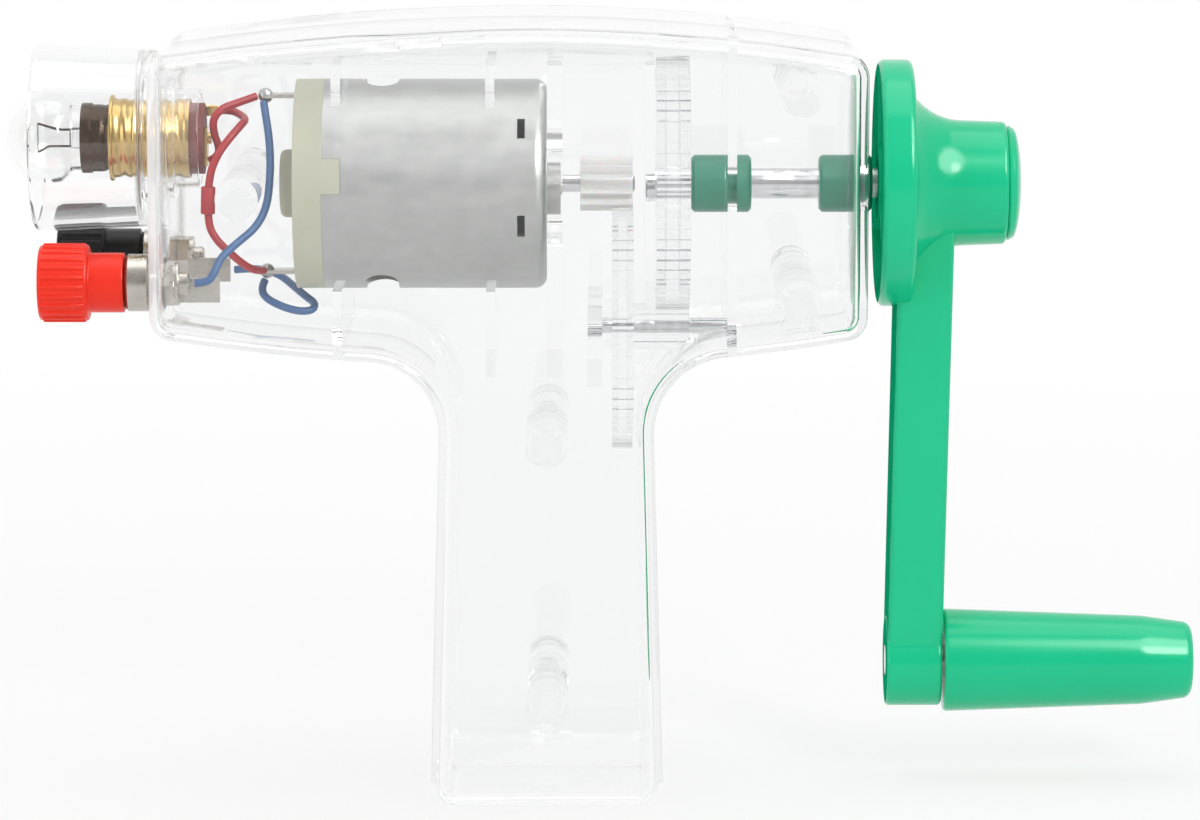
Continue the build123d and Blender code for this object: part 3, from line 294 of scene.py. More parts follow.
blue_sheath = finish("blue wire sheath", (0.040, 0.125, 0.310), (0.060, 0.165, 0.380), (0.34, 0.48),
                     2.0, 0.4, 0.008)
red_fibre = finish("red fibre", (0.16, 0.020, 0.016), (0.24, 0.035, 0.026), (0.55, 0.70), 1.0, 0.2, 0.008)
contact_glass = finish("black contact glass", (0.012, 0.012, 0.016), (0.02, 0.02, 0.03), (0.10, 0.20),
                       1.0, 0.4, 0.003)
ferrite = finish("ferrite", (0.05, 0.05, 0.055), (0.08, 0.08, 0.085), (0.55, 0.70), 1.5, 0.3, 0.008)

# %% Metals
can_steel = finish("plated can steel", (0.40, 0.405, 0.40), (0.53, 0.535, 0.525), (0.32, 0.44),
                   1.6, 0.35, 0.006, stretch=(0.6, 1, 1), Metallic=0.8)
turned_steel = finish("turned shaft steel", (0.56, 0.56, 0.58), (0.76, 0.76, 0.77), (0.14, 0.26),
                      1.5, 0.3, 0.003, stretch=(3, 0.4, 0.4), Metallic=1.0)
nickel = finish("dull nickel", (0.42, 0.39, 0.35), (0.60, 0.57, 0.53), (0.20, 0.36), 2.0, 0.4, 0.004,
                Metallic=1.0)
base_metal = finish("bulb base metal", (0.022, 0.014, 0.010), (0.13, 0.085, 0.055), (0.20, 0.34),
                    3.2, 0.4, 0.004, Metallic=0.7)
brass = finish("rolled brass", (0.46, 0.29, 0.085), (0.74, 0.56, 0.27), (0.18, 0.32), 2.2, 0.4, 0.003,
               Metallic=1.0)
bronze = finish("sintered bronze", (0.30, 0.18, 0.08), (0.42, 0.27, 0.13), (0.40, 0.55), 1.0, 0.3, 0.006,
                Metallic=0.9)
copper = finish("enamelled copper", (0.45, 0.14, 0.05), (0.60, 0.22, 0.09), (0.22, 0.34), 1.0, 0.3, 0.006,
                Metallic=0.9)
solder = finish("solder", (0.36, 0.36, 0.36), (0.56, 0.56, 0.55), (0.25, 0.42), 0.8, 0.4, 0.02, Metallic=1.0)
wire_dark = finish("dark support wire", (0.035, 0.026, 0.022), (0.09, 0.07, 0.06), (0.30, 0.42),
                   0.8, 0.3, 0.003, Metallic=0.8)
print("materials:", len(bpy.data.materials))

# %% [markdown]
# ## Finishing a CAD node
# A imported node is a heap of loose triangles with sharp seams. A copy of it is merged into one skin, its
# flat areas become single faces, and where a radius is given its sharp edges get the small radius that a
# mould or a tumbler leaves. That radius is what catches the light. The copy then stands for its node.

# %% Mesh helpers
body_names = {node: body for body, members in frame["record"]["behaviour"]["bodies"].items()
              for node in members}
same_place = 0.5e-6            # metres
flat_angle = radians(0.4)
sharp_angle = 38               # degrees


def from_skin(name, skin):
    """Turns a bmesh into a mesh object."""
    mesh = bpy.data.meshes.new(name)
    skin.to_mesh(mesh)
    skin.free()
    return new_object(name, mesh)


def smooth(mesh, crease):
    """Smooth shading, broken where faces meet at more than the crease, in degrees."""
    mesh.shade_smooth()
    mesh.set_sharp_from_angle(angle=radians(crease))


def as_mesh(thing):
    """Turns an object with live modifiers, or a curve, into a plain mesh object of the same name."""
    bpy.context.view_layer.update()
    graph = bpy.context.evaluated_depsgraph_get()
    mesh = bpy.data.meshes.new_from_object(thing.evaluated_get(graph))
    name = thing.name
    bpy.data.objects.remove(thing)
    return new_object(name, mesh)


def merged(name, pieces):
    """Joins mesh objects into one."""
    skin = bmesh.new()
    for piece in pieces:
        skin.from_mesh(piece.data)
        bpy.data.objects.remove(piece)
    return from_skin(name, skin)


def softened(piece, radius, angle):
    """Rounds the edges where faces meet at more than the angle, in degrees, by a radius in mm."""
    bevel = piece.modifiers.new("edges", "BEVEL")
    bevel.width = radius * mm
    bevel.segments = 2
    bevel.limit_method = "ANGLE"
    bevel.angle_limit = radians(angle)
    bevel.use_clamp_overlap = True
    return as_mesh(piece)


def even(piece, crease):
    """Smooth shading in which large faces rule their corners, so that flats beside roundings stay flat."""
    smooth(piece.data, crease)
    weight = piece.modifiers.new("even", "WEIGHTED_NORMAL")
    weight.keep_sharp = True
    return as_mesh(piece)


# %% Standing for a node
def put(thing, node, material):
    """Makes a piece stand for a node: same body, the given material, and the node hidden."""
    thing.data.materials.clear()
    thing.data.materials.append(material)
    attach(thing, body_names[node])
    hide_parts(node)
    print(thing.name, "faces:", len(thing.data.polygons))
    return thing


def clean_mesh(node):
    """A copy of the node's triangles, merged into one skin."""
    mesh = nodes[node].data.copy()
    mesh.materials.clear()
    for layer in ("custom_normal", "sharp_edge", "sharp_face"):
        if layer in mesh.attributes:
            mesh.attributes.remove(mesh.attributes[layer])
    skin = bmesh.new()
    skin.from_mesh(mesh)
    bmesh.ops.remove_doubles(skin, verts=skin.verts, dist=same_place)
    bmesh.ops.dissolve_limit(skin, angle_limit=flat_angle, verts=skin.verts, edges=skin.edges,
                             delimit={"NORMAL"})
    skin.to_mesh(mesh)
    skin.free()
    return mesh


def finished_copy(node, name, material, edge=0.0, crease=32.0):
    """A merged copy of the node with its sharp edges rounded, by a radius in mm."""
    piece = new_object(name, clean_mesh(node))
    if edge:
        piece = softened(piece, edge, sharp_angle)
    return put(even(piece, crease), node, material)


# %% [markdown]
# ## Small turned and stamped parts
# Most inner parts are right as solids and only get a material. Those that show through the clear shell
# are copied, so that their edges catch the light. The crank's inner faces look at the shell from close
# by and lie in shade, so they get a darker, matt copy of the green: painted shade.

# %% Parts that keep their solids
kept_nodes = {
    "socket_disc": red_fibre, "socket_contact": brass, "bulb_contact": contact_glass, "post_studs": nickel,
    "motor_terminals": nickel, "motor_brushes": ferrite, "motor_bearings": bronze,
    "armature_core": turned_steel, "armature_windings": copper, "commutator": copper,
    "motor_shaft": turned_steel, "layshaft": turned_steel, "crank_screw": turned_steel,
    "grip_pin": turned_steel,
}
for node, material in kept_nodes.items():
    nodes[node].data.materials.clear()
    nodes[node].data.materials.append(material)
print("solids that stay:", len(kept_nodes))

# %% Parts that are copied
copied_nodes = {
    "motor_pinion": ("pinion", milky_nylon, 0.05), "compound_gear": ("wheel_and_pinion", gear_plastic, 0.0),
    "crank_gear": ("crank_wheel", gear_plastic, 0.0), "inner_bush": ("bush_inside", bush_plastic, 0.0),
    "outer_bush": ("bush_outside", bush_plastic, 0.0), "crank_shaft": ("crank_axle", turned_steel, 0.0),
    "post_collars": ("clamp_collars", nickel, 0.0), "post_nuts": ("clamp_nuts", nickel, 0.08),
    "solder_tags": ("tags", nickel, 0.05),
}
for node, (name, material, edge) in copied_nodes.items():
    finished_copy(node, name, material, edge)

# Faces that look at the shell get the darker matt copy of the green, which is painted shade.
inward = -0.9   # a face whose normal's x lies below this looks at the shell
crank_arm = finished_copy("crank", "crank_arm", green_plastic)
crank_arm.data.materials.append(green_painted_shade)
for face in crank_arm.data.polygons:
    face.material_index = int(face.normal.x < inward)

# %% [markdown]
# ## Motor can
# The motor sits rolled a little about its own axis, which shows in the two slots and the bell's tab on
# its side. Two wide round-ended windows, above and below, break the can's outline: between the magnets
# light passes through them. They are cut from a copy of the can, and the copy is rolled with its end
# bell and magnets.

# %% Can, end bell and magnets
axis_height = 80.5
motor_roll = radians(-10.2)
window_x = -21.7
window_half_width = 2.2
window_half_reach = 6.1
window_steps = 12
cutter_reach = 20      # from the axis, up and down
can_crease = 32


def rolled(piece):
    """Turns a piece about the motor's axis."""
    axis = Vector((0, 0, axis_height * mm))
    turn = Matrix.Rotation(motor_roll, 4, "X")
    piece.data.transform(Matrix.Translation(axis) @ turn @ Matrix.Translation(-axis))
    return piece


def window_cutter():
    """A tall bar with a round-ended section, through the top and the bottom of the can."""
    skin = bmesh.new()
    outline = []
    for end in (1, -1):
        for step in range(window_steps + 1):
            turn = pi * step / window_steps
            x = window_x + end * window_half_width * cos(turn)
            y = end * (window_half_reach - window_half_width + window_half_width * sin(turn))
            outline.append(skin.verts.new((x * mm, y * mm, (axis_height - cutter_reach) * mm)))
    foot = skin.faces.new(outline)
    risen = bmesh.ops.extrude_face_region(skin, geom=[foot])["geom"]
    top = [item for item in risen if isinstance(item, bmesh.types.BMVert)]
    bmesh.ops.translate(skin, verts=top, vec=(0, 0, 2 * cutter_reach * mm))
    bmesh.ops.recalc_face_normals(skin, faces=skin.faces)
    return from_skin("window cutter", skin)


def windowed_can():
    """A copy of the can with both windows cut."""
    cutter = window_cutter()
    can = new_object("motor_can_shell", clean_mesh("motor_can"))
    cut = can.modifiers.new("windows", "BOOLEAN")
    cut.operation = "DIFFERENCE"
    cut.solver = "EXACT"
    cut.object = cutter
    can = as_mesh(can)
    bpy.data.objects.remove(cutter)
    return even(can, can_crease)


put(rolled(windowed_can()), "motor_can", can_steel)
rolled(finished_copy("motor_end_bell", "motor_bell", cream_nylon, edge=0.12))
rolled(finished_copy("motor_magnets", "magnets", ferrite))

# %% [markdown]
# ## The clear shell
# The housing is two mouldings that meet on the middle plane. A hair's gap is left between them, because
# two glass faces that touch would merge into one block and the parting line would vanish.

# %% Shell halves
parting_gap = 0.03 * mm
on_the_plane = 1e-6   # metres
for node, side in (("housing_near", -1), ("housing_far", 1)):
    shell = finished_copy(node, node + "_shell", shell_plastic, crease=40.0)
    for vertex in shell.data.vertices:
        if abs(vertex.co.y) < on_the_plane:
            vertex.co.y = side * parting_gap / 2

# %% [markdown]
# ## Turned forms
# The shroud, the lamp's glass, the cap and the grip are all round. Each is drawn as a half section, its
# corners are rounded, and it is turned about its axis with enough steps to look round in a close view.


# %% Half sections
def rounded(points, radii, steps=5):
    """The same line with its corners rounded. A radius of 0 leaves a corner sharp."""
    line = []
    for index, (here, radius) in enumerate(zip(points, radii)):
        corner = Vector(here)
        if not radius:
            line.append(corner)
            continue
        before = (Vector(points[index - 1]) - corner).normalized()
        after = (Vector(points[(index + 1) % len(points)]) - corner).normalized()
        half = before.angle(after) / 2
        reach = radius / tan(half)
        middle = corner + (before + after).normalized() * radius / sin(half)
        first = corner + before * reach - middle
        last = corner + after * reach - middle
        for step in range(steps + 1):
            line.append(middle + first.slerp(last, step / steps).normalized() * radius)
    return line


def braced(section, closed, margin=0.05):
    """Adds a point near each end of a long straight run, so that its smooth shading stays true."""
    long_run = 10 * margin
    line = []
    for here, after in zip(section, section[1:] + section[:1]):
        here, after = Vector(here), Vector(after)
        line.append(here)
        run = after - here
        if run.length > long_run:
            line += [here + run.normalized() * margin, after - run.normalized() * margin]
    return line if closed else line[:line.index(Vector(section[-1])) + 1]


# %% Lathe
smallest_radius = 1e-6


def turned_ring(skin, x, radius, height, depth, segments):
    """A ring of vertices, or a single one where the section meets the axis."""
    if abs(radius) < smallest_radius:
        return [skin.verts.new((x * mm, depth * mm, height * mm))]
    ring = []
    for segment in range(segments):
        turn = 2 * pi * segment / segments
        ring.append(skin.verts.new((x * mm, (depth + radius * sin(turn)) * mm,
                                    (height + radius * cos(turn)) * mm)))
    return ring


def lathe(name, section, height, depth=0.0, segments=128, closed=True):
    """Turns a half section, drawn in mm as (x, radius), about the line at a height and depth."""
    skin = bmesh.new()
    rings = [turned_ring(skin, x, radius, height, depth, segments) for x, radius in braced(section, closed)]
    for one, two in zip(rings, rings[1:] + rings[:1] if closed else rings[1:]):
        if len(one) == len(two) == 1:
            continue
        for segment in range(segments):
            following = segment + 1
            corners = (one[segment % len(one)], one[following % len(one)],
                       two[following % len(two)], two[segment % len(two)])
            skin.faces.new(list(dict.fromkeys(corners)))
    bmesh.ops.recalc_face_normals(skin, faces=skin.faces)
    return from_skin(name, skin)


# %% [markdown]
# ## Lamp shroud
# The shroud is a thick clear cup with a slight flare. Its lip is flat with rounded edges, and its floor
# carries a sleeve that passes through the front wall, with a collar behind the wall.

# %% Shroud
lamp_height = axis_height + 6.0
shroud_low, shroud_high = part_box("lamp_shroud")
shroud_front = shroud_low.x / mm
sleeve_rear = shroud_high.x / mm
housing_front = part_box("housing_near")[0].x / mm
front_wall = 1.6
lip_radius = 12.4
root_radius = 11.65
cup_wall = 1.3
cup_floor = housing_front - 1.6
sleeve_radius = 6.6
sleeve_bore = 5.9
sleeve_waist = sleeve_radius - 0.03     # where it passes through the wall
collar_radius = 7.9
collar_start = housing_front + front_wall + 0.02
collar_end = collar_start + 1.0
cup_section = rounded(
    [(housing_front, sleeve_waist), (housing_front, root_radius), (shroud_front, lip_radius),
     (shroud_front, lip_radius - cup_wall), (cup_floor, root_radius - cup_wall), (cup_floor, sleeve_bore),
     (sleeve_rear, sleeve_bore), (sleeve_rear, sleeve_radius), (collar_end, sleeve_radius),
     (collar_end, collar_radius), (collar_start, collar_radius), (collar_start, sleeve_waist)],
    [0, 0.3, 0.45, 0.45, 0.9, 0.3, 0.2, 0.2, 0.15, 0.2, 0, 0])
shroud = lathe("shroud_cup", cup_section, lamp_height)
smooth(shroud.data, 30)
put(shroud, "lamp_shroud", shell_plastic)

# %% [markdown]
# ## Bulb
# The globe is blown glass: a thin ball that runs in one curve into its neck. Glass has an inner skin
# too, and light bends at both, so the hollow is turned as well and its faces look inwards.

# %% Bulb glass
bulb_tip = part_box("bulb_glass")[0].x / mm
neck_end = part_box("bulb_glass")[1].x / mm
neck_start = -62.5
neck_radius = 4.3
globe_radius = 6.0
globe_middle = bulb_tip + globe_radius
globe_angle = radians(105)
globe_steps = 22
blend_steps = 8
glass_wall = 0.45
neck_floor = 0.8


def globe_line(radius, neck):
    """The globe's line from its tip to its neck, as (x, radius) in mm."""
    line = []
    for step in range(globe_steps + 1):
        turn = globe_angle * step / globe_steps
        line.append((globe_middle - radius * cos(turn), radius * sin(turn)))
    last_x, last_radius = line[-1]
    for step in range(1, blend_steps + 1):
        share = step / blend_steps
        ease = share * share * (3 - 2 * share)
        line.append((last_x + (neck_start - last_x) * share, last_radius + (neck - last_radius) * ease))
    return line


def glass_skin(name, inset, end):
    """One skin of the glass, set in by the wall, with a flat end."""
    neck = neck_radius - inset
    return lathe(name, globe_line(globe_radius - inset, neck) + [(end, neck), (end, 0)], lamp_height,
                 closed=False)


blown = glass_skin("blown", 0, neck_end)
hollow = glass_skin("hollow", glass_wall, neck_end - neck_floor)
hollow.data.flip_normals()
globe = merged("bulb_globe", [blown, hollow])
smooth(globe.data, 50)
put(globe, "bulb_glass", bulb_clear)

# %% [markdown]
# ## Geometry Nodes helpers
# A node tree is written like a recipe: named inputs first, then one node after another. The result is
# turned into a plain mesh at the end, so that nothing in the finished object depends on a live tree.


# %% Tree helpers
class Recipe:
    """A Geometry Nodes tree that is built step by step. Its sizes are named inputs."""

    def __init__(self, name, **sizes):
        self.tree = bpy.data.node_groups.new(name, "GeometryNodeTree")
        self.tree.interface.new_socket("Geometry", in_out="OUTPUT", socket_type="NodeSocketGeometry")
        self.sizes = sizes
        for label, value in sizes.items():
            kind = "NodeSocketInt" if isinstance(value, int) else "NodeSocketFloat"
            self.tree.interface.new_socket(label, in_out="INPUT", socket_type=kind)
        self.given = self.tree.nodes.new("NodeGroupInput")
        self.end = self.tree.nodes.new("NodeGroupOutput")

    def size(self, label):
        return self.given.outputs[label]

    def step(self, kind, inputs=(), **settings):
        """Adds a node. Inputs are (socket, value or output) pairs."""
        node = self.tree.nodes.new(kind)
        for key, value in settings.items():
            setattr(node, key, value)
        for socket, value in inputs:
            if isinstance(value, bpy.types.NodeSocket):
                self.tree.links.new(value, node.inputs[socket])
            else:
                node.inputs[socket].default_value = value
        return node

    def maths(self, operation, one, two=0.0):
        return self.step("ShaderNodeMath", ((0, one), (1, two)), operation=operation).outputs[0]

    def made(self, name, geometry, material):
        """Ends the tree in Realize Instances and Set Material, and returns a plain mesh object."""
        real = self.step("GeometryNodeRealizeInstances", ((0, geometry),))
        paint = self.step("GeometryNodeSetMaterial", ((0, real.outputs[0]), ("Material", material)))
        self.tree.links.new(paint.outputs[0], self.end.inputs[0])
        holder = new_object(name, bpy.data.meshes.new(name))
        modifier = holder.modifiers.new(self.tree.name, "NODES")
        modifier.node_group = self.tree
        for item in self.tree.interface.items_tree:
            if item.in_out == "INPUT":
                modifier[item.identifier] = self.sizes[item.name]
        return as_mesh(holder)


# %% [markdown]
# ## Screw threads
# The lamp's base and its socket are thin metal rolled into one helical wave. A grid is bent round the
# axis, and its radius follows a cosine that moves on by one pitch for each turn. The wave fades out at
# both ends, where the real sheet is plain. Solidify then gives the sheet its thickness.

# %% Rolled thread
thread_pitch = 1.81
thread_depth = 0.26
thread_segments = 96
thread_rows = 80
thread_crease = 50


def rolled_thread(name, material, start, length, crest, sheet, plain_start, plain_end):
    """A rolled threaded sleeve about the lamp's axis. All sizes are in mm."""
    recipe = Recipe("rolled thread", Start=start * mm, Length=length * mm, Crest=crest * mm,
                    Depth=thread_depth * mm, Pitch=thread_pitch * mm, Plain_start=plain_start * mm,
                    Plain_end=plain_end * mm, Height=lamp_height * mm)
    size, maths = recipe.size, recipe.maths
    grid = recipe.step("GeometryNodeMeshGrid", (
        ("Size X", 1.0), ("Size Y", 1.0),
        ("Vertices X", thread_segments + 1), ("Vertices Y", thread_rows + 1)))
    flat = recipe.step("ShaderNodeSeparateXYZ", ((0, recipe.step("GeometryNodeInputPosition").outputs[0]),))
    turn = maths("MULTIPLY", maths("ADD", flat.outputs[0], 0.5), 2 * pi)
    along = maths("MULTIPLY", maths("ADD", flat.outputs[1], 0.5), size("Length"))
    phase = maths("ADD", maths("MULTIPLY", maths("DIVIDE", along, size("Pitch")), 2 * pi), turn)
    wave = maths("MULTIPLY", maths("SUBTRACT", 1.0, maths("COSINE", phase)), 0.5)
    half_pitch = maths("MULTIPLY", size("Pitch"), 0.5)
    rise = maths("DIVIDE", maths("SUBTRACT", along, size("Plain_start")), half_pitch)
    left = maths("SUBTRACT", maths("SUBTRACT", size("Length"), size("Plain_end")), along)
    fall = maths("DIVIDE", left, half_pitch)
    fade = maths("MAXIMUM", maths("MINIMUM", maths("MINIMUM", rise, fall), 1.0), 0.0)
    dip = maths("MULTIPLY", maths("MULTIPLY", wave, fade), size("Depth"))
    radius = maths("SUBTRACT", size("Crest"), dip)
    point = recipe.step("ShaderNodeCombineXYZ", (
        (0, maths("ADD", along, size("Start"))),
        (1, maths("MULTIPLY", radius, maths("SINE", turn))),
        (2, maths("ADD", maths("MULTIPLY", radius, maths("COSINE", turn)), size("Height")))))
    bent = recipe.step("GeometryNodeSetPosition", ((0, grid.outputs[0]), ("Position", point.outputs[0])))
    closed = recipe.step("GeometryNodeMergeByDistance", ((0, bent.outputs[0]), ("Distance", 1e-6)))
    return walled(recipe.made(name, closed.outputs[0], material), sheet)


def walled(piece, sheet):
    """Turns the faces outwards and gives the sheet its thickness, in mm."""
    skin = bmesh.new()
    skin.from_mesh(piece.data)
    bmesh.ops.recalc_face_normals(skin, faces=skin.faces)
    skin.to_mesh(piece.data)
    skin.free()
    wall = piece.modifiers.new("sheet", "SOLIDIFY")
    wall.thickness = sheet * mm
    wall.offset = -1
    return as_mesh(piece)


# %% Socket
socket_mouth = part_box("lamp_socket")[0].x / mm
socket_length = 10.6
socket_crest = 5.25
flange_end = socket_mouth + 0.5
flange_radius = 5.7
flange_bore = 4.95
tab_angle = radians(50.0)
tab_start = -47.6
tab_length = 3.9
tab_width = 1.8
tab_thickness = 0.45
tab_middle = 5.12     # from the lamp's axis
tab_edge = 0.1


def solder_tab():
    """A flat strip that runs back from the socket's rim."""
    skin = bmesh.new()
    for corner in bmesh.ops.create_cube(skin, size=1.0)["verts"]:
        across = corner.co.y * tab_width
        out = tab_middle + corner.co.z * tab_thickness
        corner.co = Vector((tab_start + (corner.co.x + 0.5) * tab_length,
                            out * sin(tab_angle) + across * cos(tab_angle),
                            lamp_height + out * cos(tab_angle) - across * sin(tab_angle))) * mm
    bmesh.ops.recalc_face_normals(skin, faces=skin.faces)
    bmesh.ops.bevel(skin, geom=skin.edges[:], offset=tab_edge * mm, segments=2, affect="EDGES")
    return from_skin("tab", skin)


threaded = rolled_thread("socket_shell", brass, socket_mouth, socket_length, socket_crest, sheet=0.22,
                         plain_start=0.7, plain_end=0.5)
flange = lathe("flange", rounded([(socket_mouth, flange_bore), (socket_mouth, flange_radius),
                                  (flange_end, flange_radius), (flange_end, flange_bore)],
                                 [0.1, 0.15, 0.15, 0.1]), lamp_height)
socket = merged("socket", [threaded, flange, solder_tab()])
smooth(socket.data, thread_crease)
put(socket, "lamp_socket", brass)

# %% Bulb base
base_low, base_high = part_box("bulb_base")
base_start = base_low.x / mm + 0.7
base_length = base_high.x / mm - base_start
base_crest = 4.45
band_radius = 4.65
band_bore = 4.36         # in front; its rear meets the sleeve
band_rear_bore = 4.4
band_end = base_start + 1.4
threaded = rolled_thread("sleeve", base_metal, base_start, base_length, base_crest, sheet=0.15,
                         plain_start=2.6, plain_end=0.3)
band = lathe("band", rounded([(base_start, band_bore), (base_start, band_radius),
                              (band_end, band_radius), (band_end, band_rear_bore)],
                             [0, 0.12, 0.12, 0]), lamp_height)
base = merged("bulb_sleeve", [threaded, band])
smooth(base.data, thread_crease)
put(base, "bulb_base", base_metal)

# %% [markdown]
# ## Support wires and filament
# Two bent wires come through the pinched neck and a glass bead, and a fine coil hangs between their
# tips. The wires are thin curves. The coil repeats by a rule, so it is a Geometry Nodes spiral with a
# thin round section.


# %% Support wires
def tube(name, points, radius):
    """A round wire along a smooth curve whose control points are given in metres."""
    data = bpy.data.curves.new(name, "CURVE")
    data.dimensions = "3D"
    data.bevel_depth = radius
    data.bevel_resolution = 5
    data.use_fill_caps = True
    data.resolution_u = 10
    line = data.splines.new("NURBS")
    line.points.add(len(points) - 1)
    for place, point in zip(line.points, points):
        place.co = (*point, 1.0)
    line.order_u = 3
    line.use_endpoint_u = True
    piece = as_mesh(new_object(name, data))
    smooth(piece.data, 50)
    return piece


support_radius = 0.16
support_root = 0.8            # behind the neck's end
support_spread = 1.1          # from the axis, up and down
support_knees = (3.2, 4.4)    # in front of the base: upper, lower
tip_reach = 5.9
tip_spread = 1.9
before_knee = 0.9             # shares of the way that a bend takes up
after_knee = 0.2
wires = []
tips = []
for side, knee_reach in zip((1, -1), support_knees):
    low = Vector((neck_end + support_root, 0, lamp_height + side * support_spread)) * mm
    knee = Vector((base_start - knee_reach, 0, lamp_height + side * support_spread)) * mm
    tip = Vector((base_start - tip_reach, 0, lamp_height + side * tip_spread)) * mm
    bends = [low, low.lerp(knee, before_knee), knee, knee.lerp(tip, after_knee), tip]
    wires.append(tube("support", bends, support_radius * mm))
    tips.append(tip)
print("support wires' tips, in mm:", [[round(v / mm, 1) for v in tip] for tip in tips])

# %% Filament and bead
bead_start = base_start - 1.6
bead_radius = 1.4
bead_round = 0.5
bead = lathe("bead", rounded([(bead_start, 0), (bead_start, bead_radius), (base_start, bead_radius),
                              (base_start, 0)], [0, bead_round, bead_round, 0]), lamp_height, segments=32,
             closed=False)
coil = Recipe("filament", Turns=22.0, Radius=0.10 * mm, Length=(tips[0] - tips[1]).length, Wire=0.03 * mm)
spiral = coil.step("GeometryNodeCurveSpiral", (
    ("Resolution", 12), ("Rotations", coil.size("Turns")), ("Start Radius", coil.size("Radius")),
    ("End Radius", coil.size("Radius")), ("Height", coil.size("Length"))))
section = coil.step("GeometryNodeCurvePrimitiveCircle", (("Resolution", 6), ("Radius", coil.size("Wire"))))
thread = coil.step("GeometryNodeCurveToMesh", (
    (0, spiral.outputs[0]), (1, section.outputs[0]), ("Fill Caps", True)))
placed = coil.step("GeometryNodeTransform", ((0, thread.outputs[0]), ("Translation", tips[1])))
filament = coil.made("coil", placed.outputs[0], wire_dark)

bead_faces = len(bead.data.polygons)
inside = merged("bulb_inside", [*wires, filament, bead])
smooth(inside.data, 50)
put(inside, "bulb_filament", wire_dark)
inside.data.materials.append(bulb_clear)
for face in inside.data.polygons[-bead_faces:]:
    face.material_index = 1

# %% [markdown]
# ## Binding post knobs
# Each knob is a turned body with ribs all round for the fingers. The ribs repeat, so a tree places one
# rounded bar on each point of a circle.

# %% Knobs
head_length = 6.5
head_radius = 4.95
neck_of_knob = 3.9
stud_bore = 1.55
knob_floor = 1.6
rib_count = 24
rib_circle = 4.86
rib_radius = 0.34
rib_start = 0.55
rib_length = 5.5
rib_edge = 0.12
rib_angle = 60      # degrees: the bars' ends are rounded, and not their sides


def knob_ribs(name, start, depth, height, material):
    """Bars on a circle about the knob's axis."""
    recipe = Recipe("knob ribs", Count=rib_count, Radius=rib_circle * mm, Rib=rib_radius * mm,
                    Start=(start + rib_start) * mm, Length=rib_length * mm, Depth=depth * mm,
                    Height=height * mm)
    size = recipe.size
    circle = recipe.step("GeometryNodeMeshCircle", (
        ("Vertices", size("Count")), ("Radius", size("Radius"))))
    bar = recipe.step("GeometryNodeMeshCylinder", (
        ("Vertices", 10), ("Radius", size("Rib")), ("Depth", size("Length"))))
    ribs = recipe.step("GeometryNodeInstanceOnPoints", (
        (0, circle.outputs[0]), ("Instance", bar.outputs[0])))
    middle = recipe.maths("ADD", size("Start"), recipe.maths("MULTIPLY", size("Length"), 0.5))
    place = recipe.step("ShaderNodeCombineXYZ", ((0, middle), (1, size("Depth")), (2, size("Height"))))
    turned = recipe.step("GeometryNodeTransform", (
        (0, ribs.outputs[0]), ("Translation", place.outputs[0]), ("Rotation", (0, pi / 2, 0))))
    return softened(recipe.made(name, turned.outputs[0], material), rib_edge, rib_angle)


def knob(node, name, material):
    """A knob in the place of its node."""
    low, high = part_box(node)
    start, end = low.x / mm, high.x / mm
    depth = (low.y + high.y) / 2 / mm
    height = (low.z + high.z) / 2 / mm
    head_end = start + head_length
    bore_end = start + knob_floor
    core = lathe(name + "_core", rounded(
        [(start, 0), (start, head_radius), (head_end, head_radius), (head_end, neck_of_knob),
         (end, neck_of_knob), (end, stud_bore), (bore_end, stud_bore), (bore_end, 0)],
        [0, 0.5, 0.35, 0.2, 0.2, 0, 0, 0]), height, depth, segments=96, closed=False)
    whole = merged(name, [core, knob_ribs(name + "_ribs", start, depth, height, material)])
    smooth(whole.data, 40)
    put(whole, node, material)


knob("red_knob", "red_clamp_knob", red_plastic)
knob("black_knob", "black_clamp_knob", black_plastic)

# %% [markdown]
# ## Wires
# Each insulated wire follows its own chosen places, as a smooth curve that bends on from one to the
# next. The places are x, y and the height above the main axis, in mm.

# %% Wires
wire_radius = 0.52 * mm
wire_routes = {
    "red_wire_lamp": [
        (-38.45, -0.2, 11.6), (-39.7, -0.9, 11.2), (-41.1, -2.0, 10.8), (-42.8, -3.0, 10.3),
        (-44.0, -3.4, 8.9), (-43.9, -2.6, 6.8), (-43.3, -1.7, 5.1), (-43.5, -0.9, 3.7), (-44.65, -0.5, 3.1)],
    "red_wire_return": [
        (-43.6, 3.9, 9.3), (-42.0, 3.5, 9.4), (-40.6, 1.8, 8.9), (-39.8, -0.8, 8.6), (-40.1, -3.6, 8.3),
        (-41.5, -5.6, 6.8), (-43.2, -6.4, 4.6), (-44.4, -6.5, 1.6), (-44.6, -6.5, -4.6), (-43.5, -6.5, -6.7),
        (-42.1, -6.4, -8.1), (-40.7, -5.8, -9.5), (-39.4, -4.4, -10.7), (-38.3, -2.9, -11.3),
        (-37.6, -1.3, -11.5)],
    "blue_wire_red_post": [
        (-37.4, -0.95, 10.85), (-37.1, -2.2, 9.3), (-36.6, -4.0, 7.0), (-36.3, -5.6, 4.0),
        (-36.35, -7.0, 0.8), (-36.7, -8.2, -2.2), (-38.0, -9.4, -4.7), (-40.3, -10.6, -6.5),
        (-42.6, -11.8, -8.4), (-43.4, -12.8, -10.5), (-44.4, -13.0, -11.6), (-45.9, -13.0, -11.6)],
    "blue_wire_black_post": [
        (-42.25, 10.35, -12.9), (-40.3, 10.1, -12.7), (-38.0, 8.8, -12.7), (-35.7, 6.4, -13.2),
        (-33.9, 3.4, -14.2), (-32.2, 0.8, -15.2), (-30.7, -1.4, -15.9), (-31.1, -3.2, -16.6),
        (-33.0, -3.8, -16.6), (-35.4, -3.4, -15.9), (-37.4, -2.2, -15.0), (-38.0, -0.9, -13.9),
        (-37.5, -0.2, -12.9)],
}
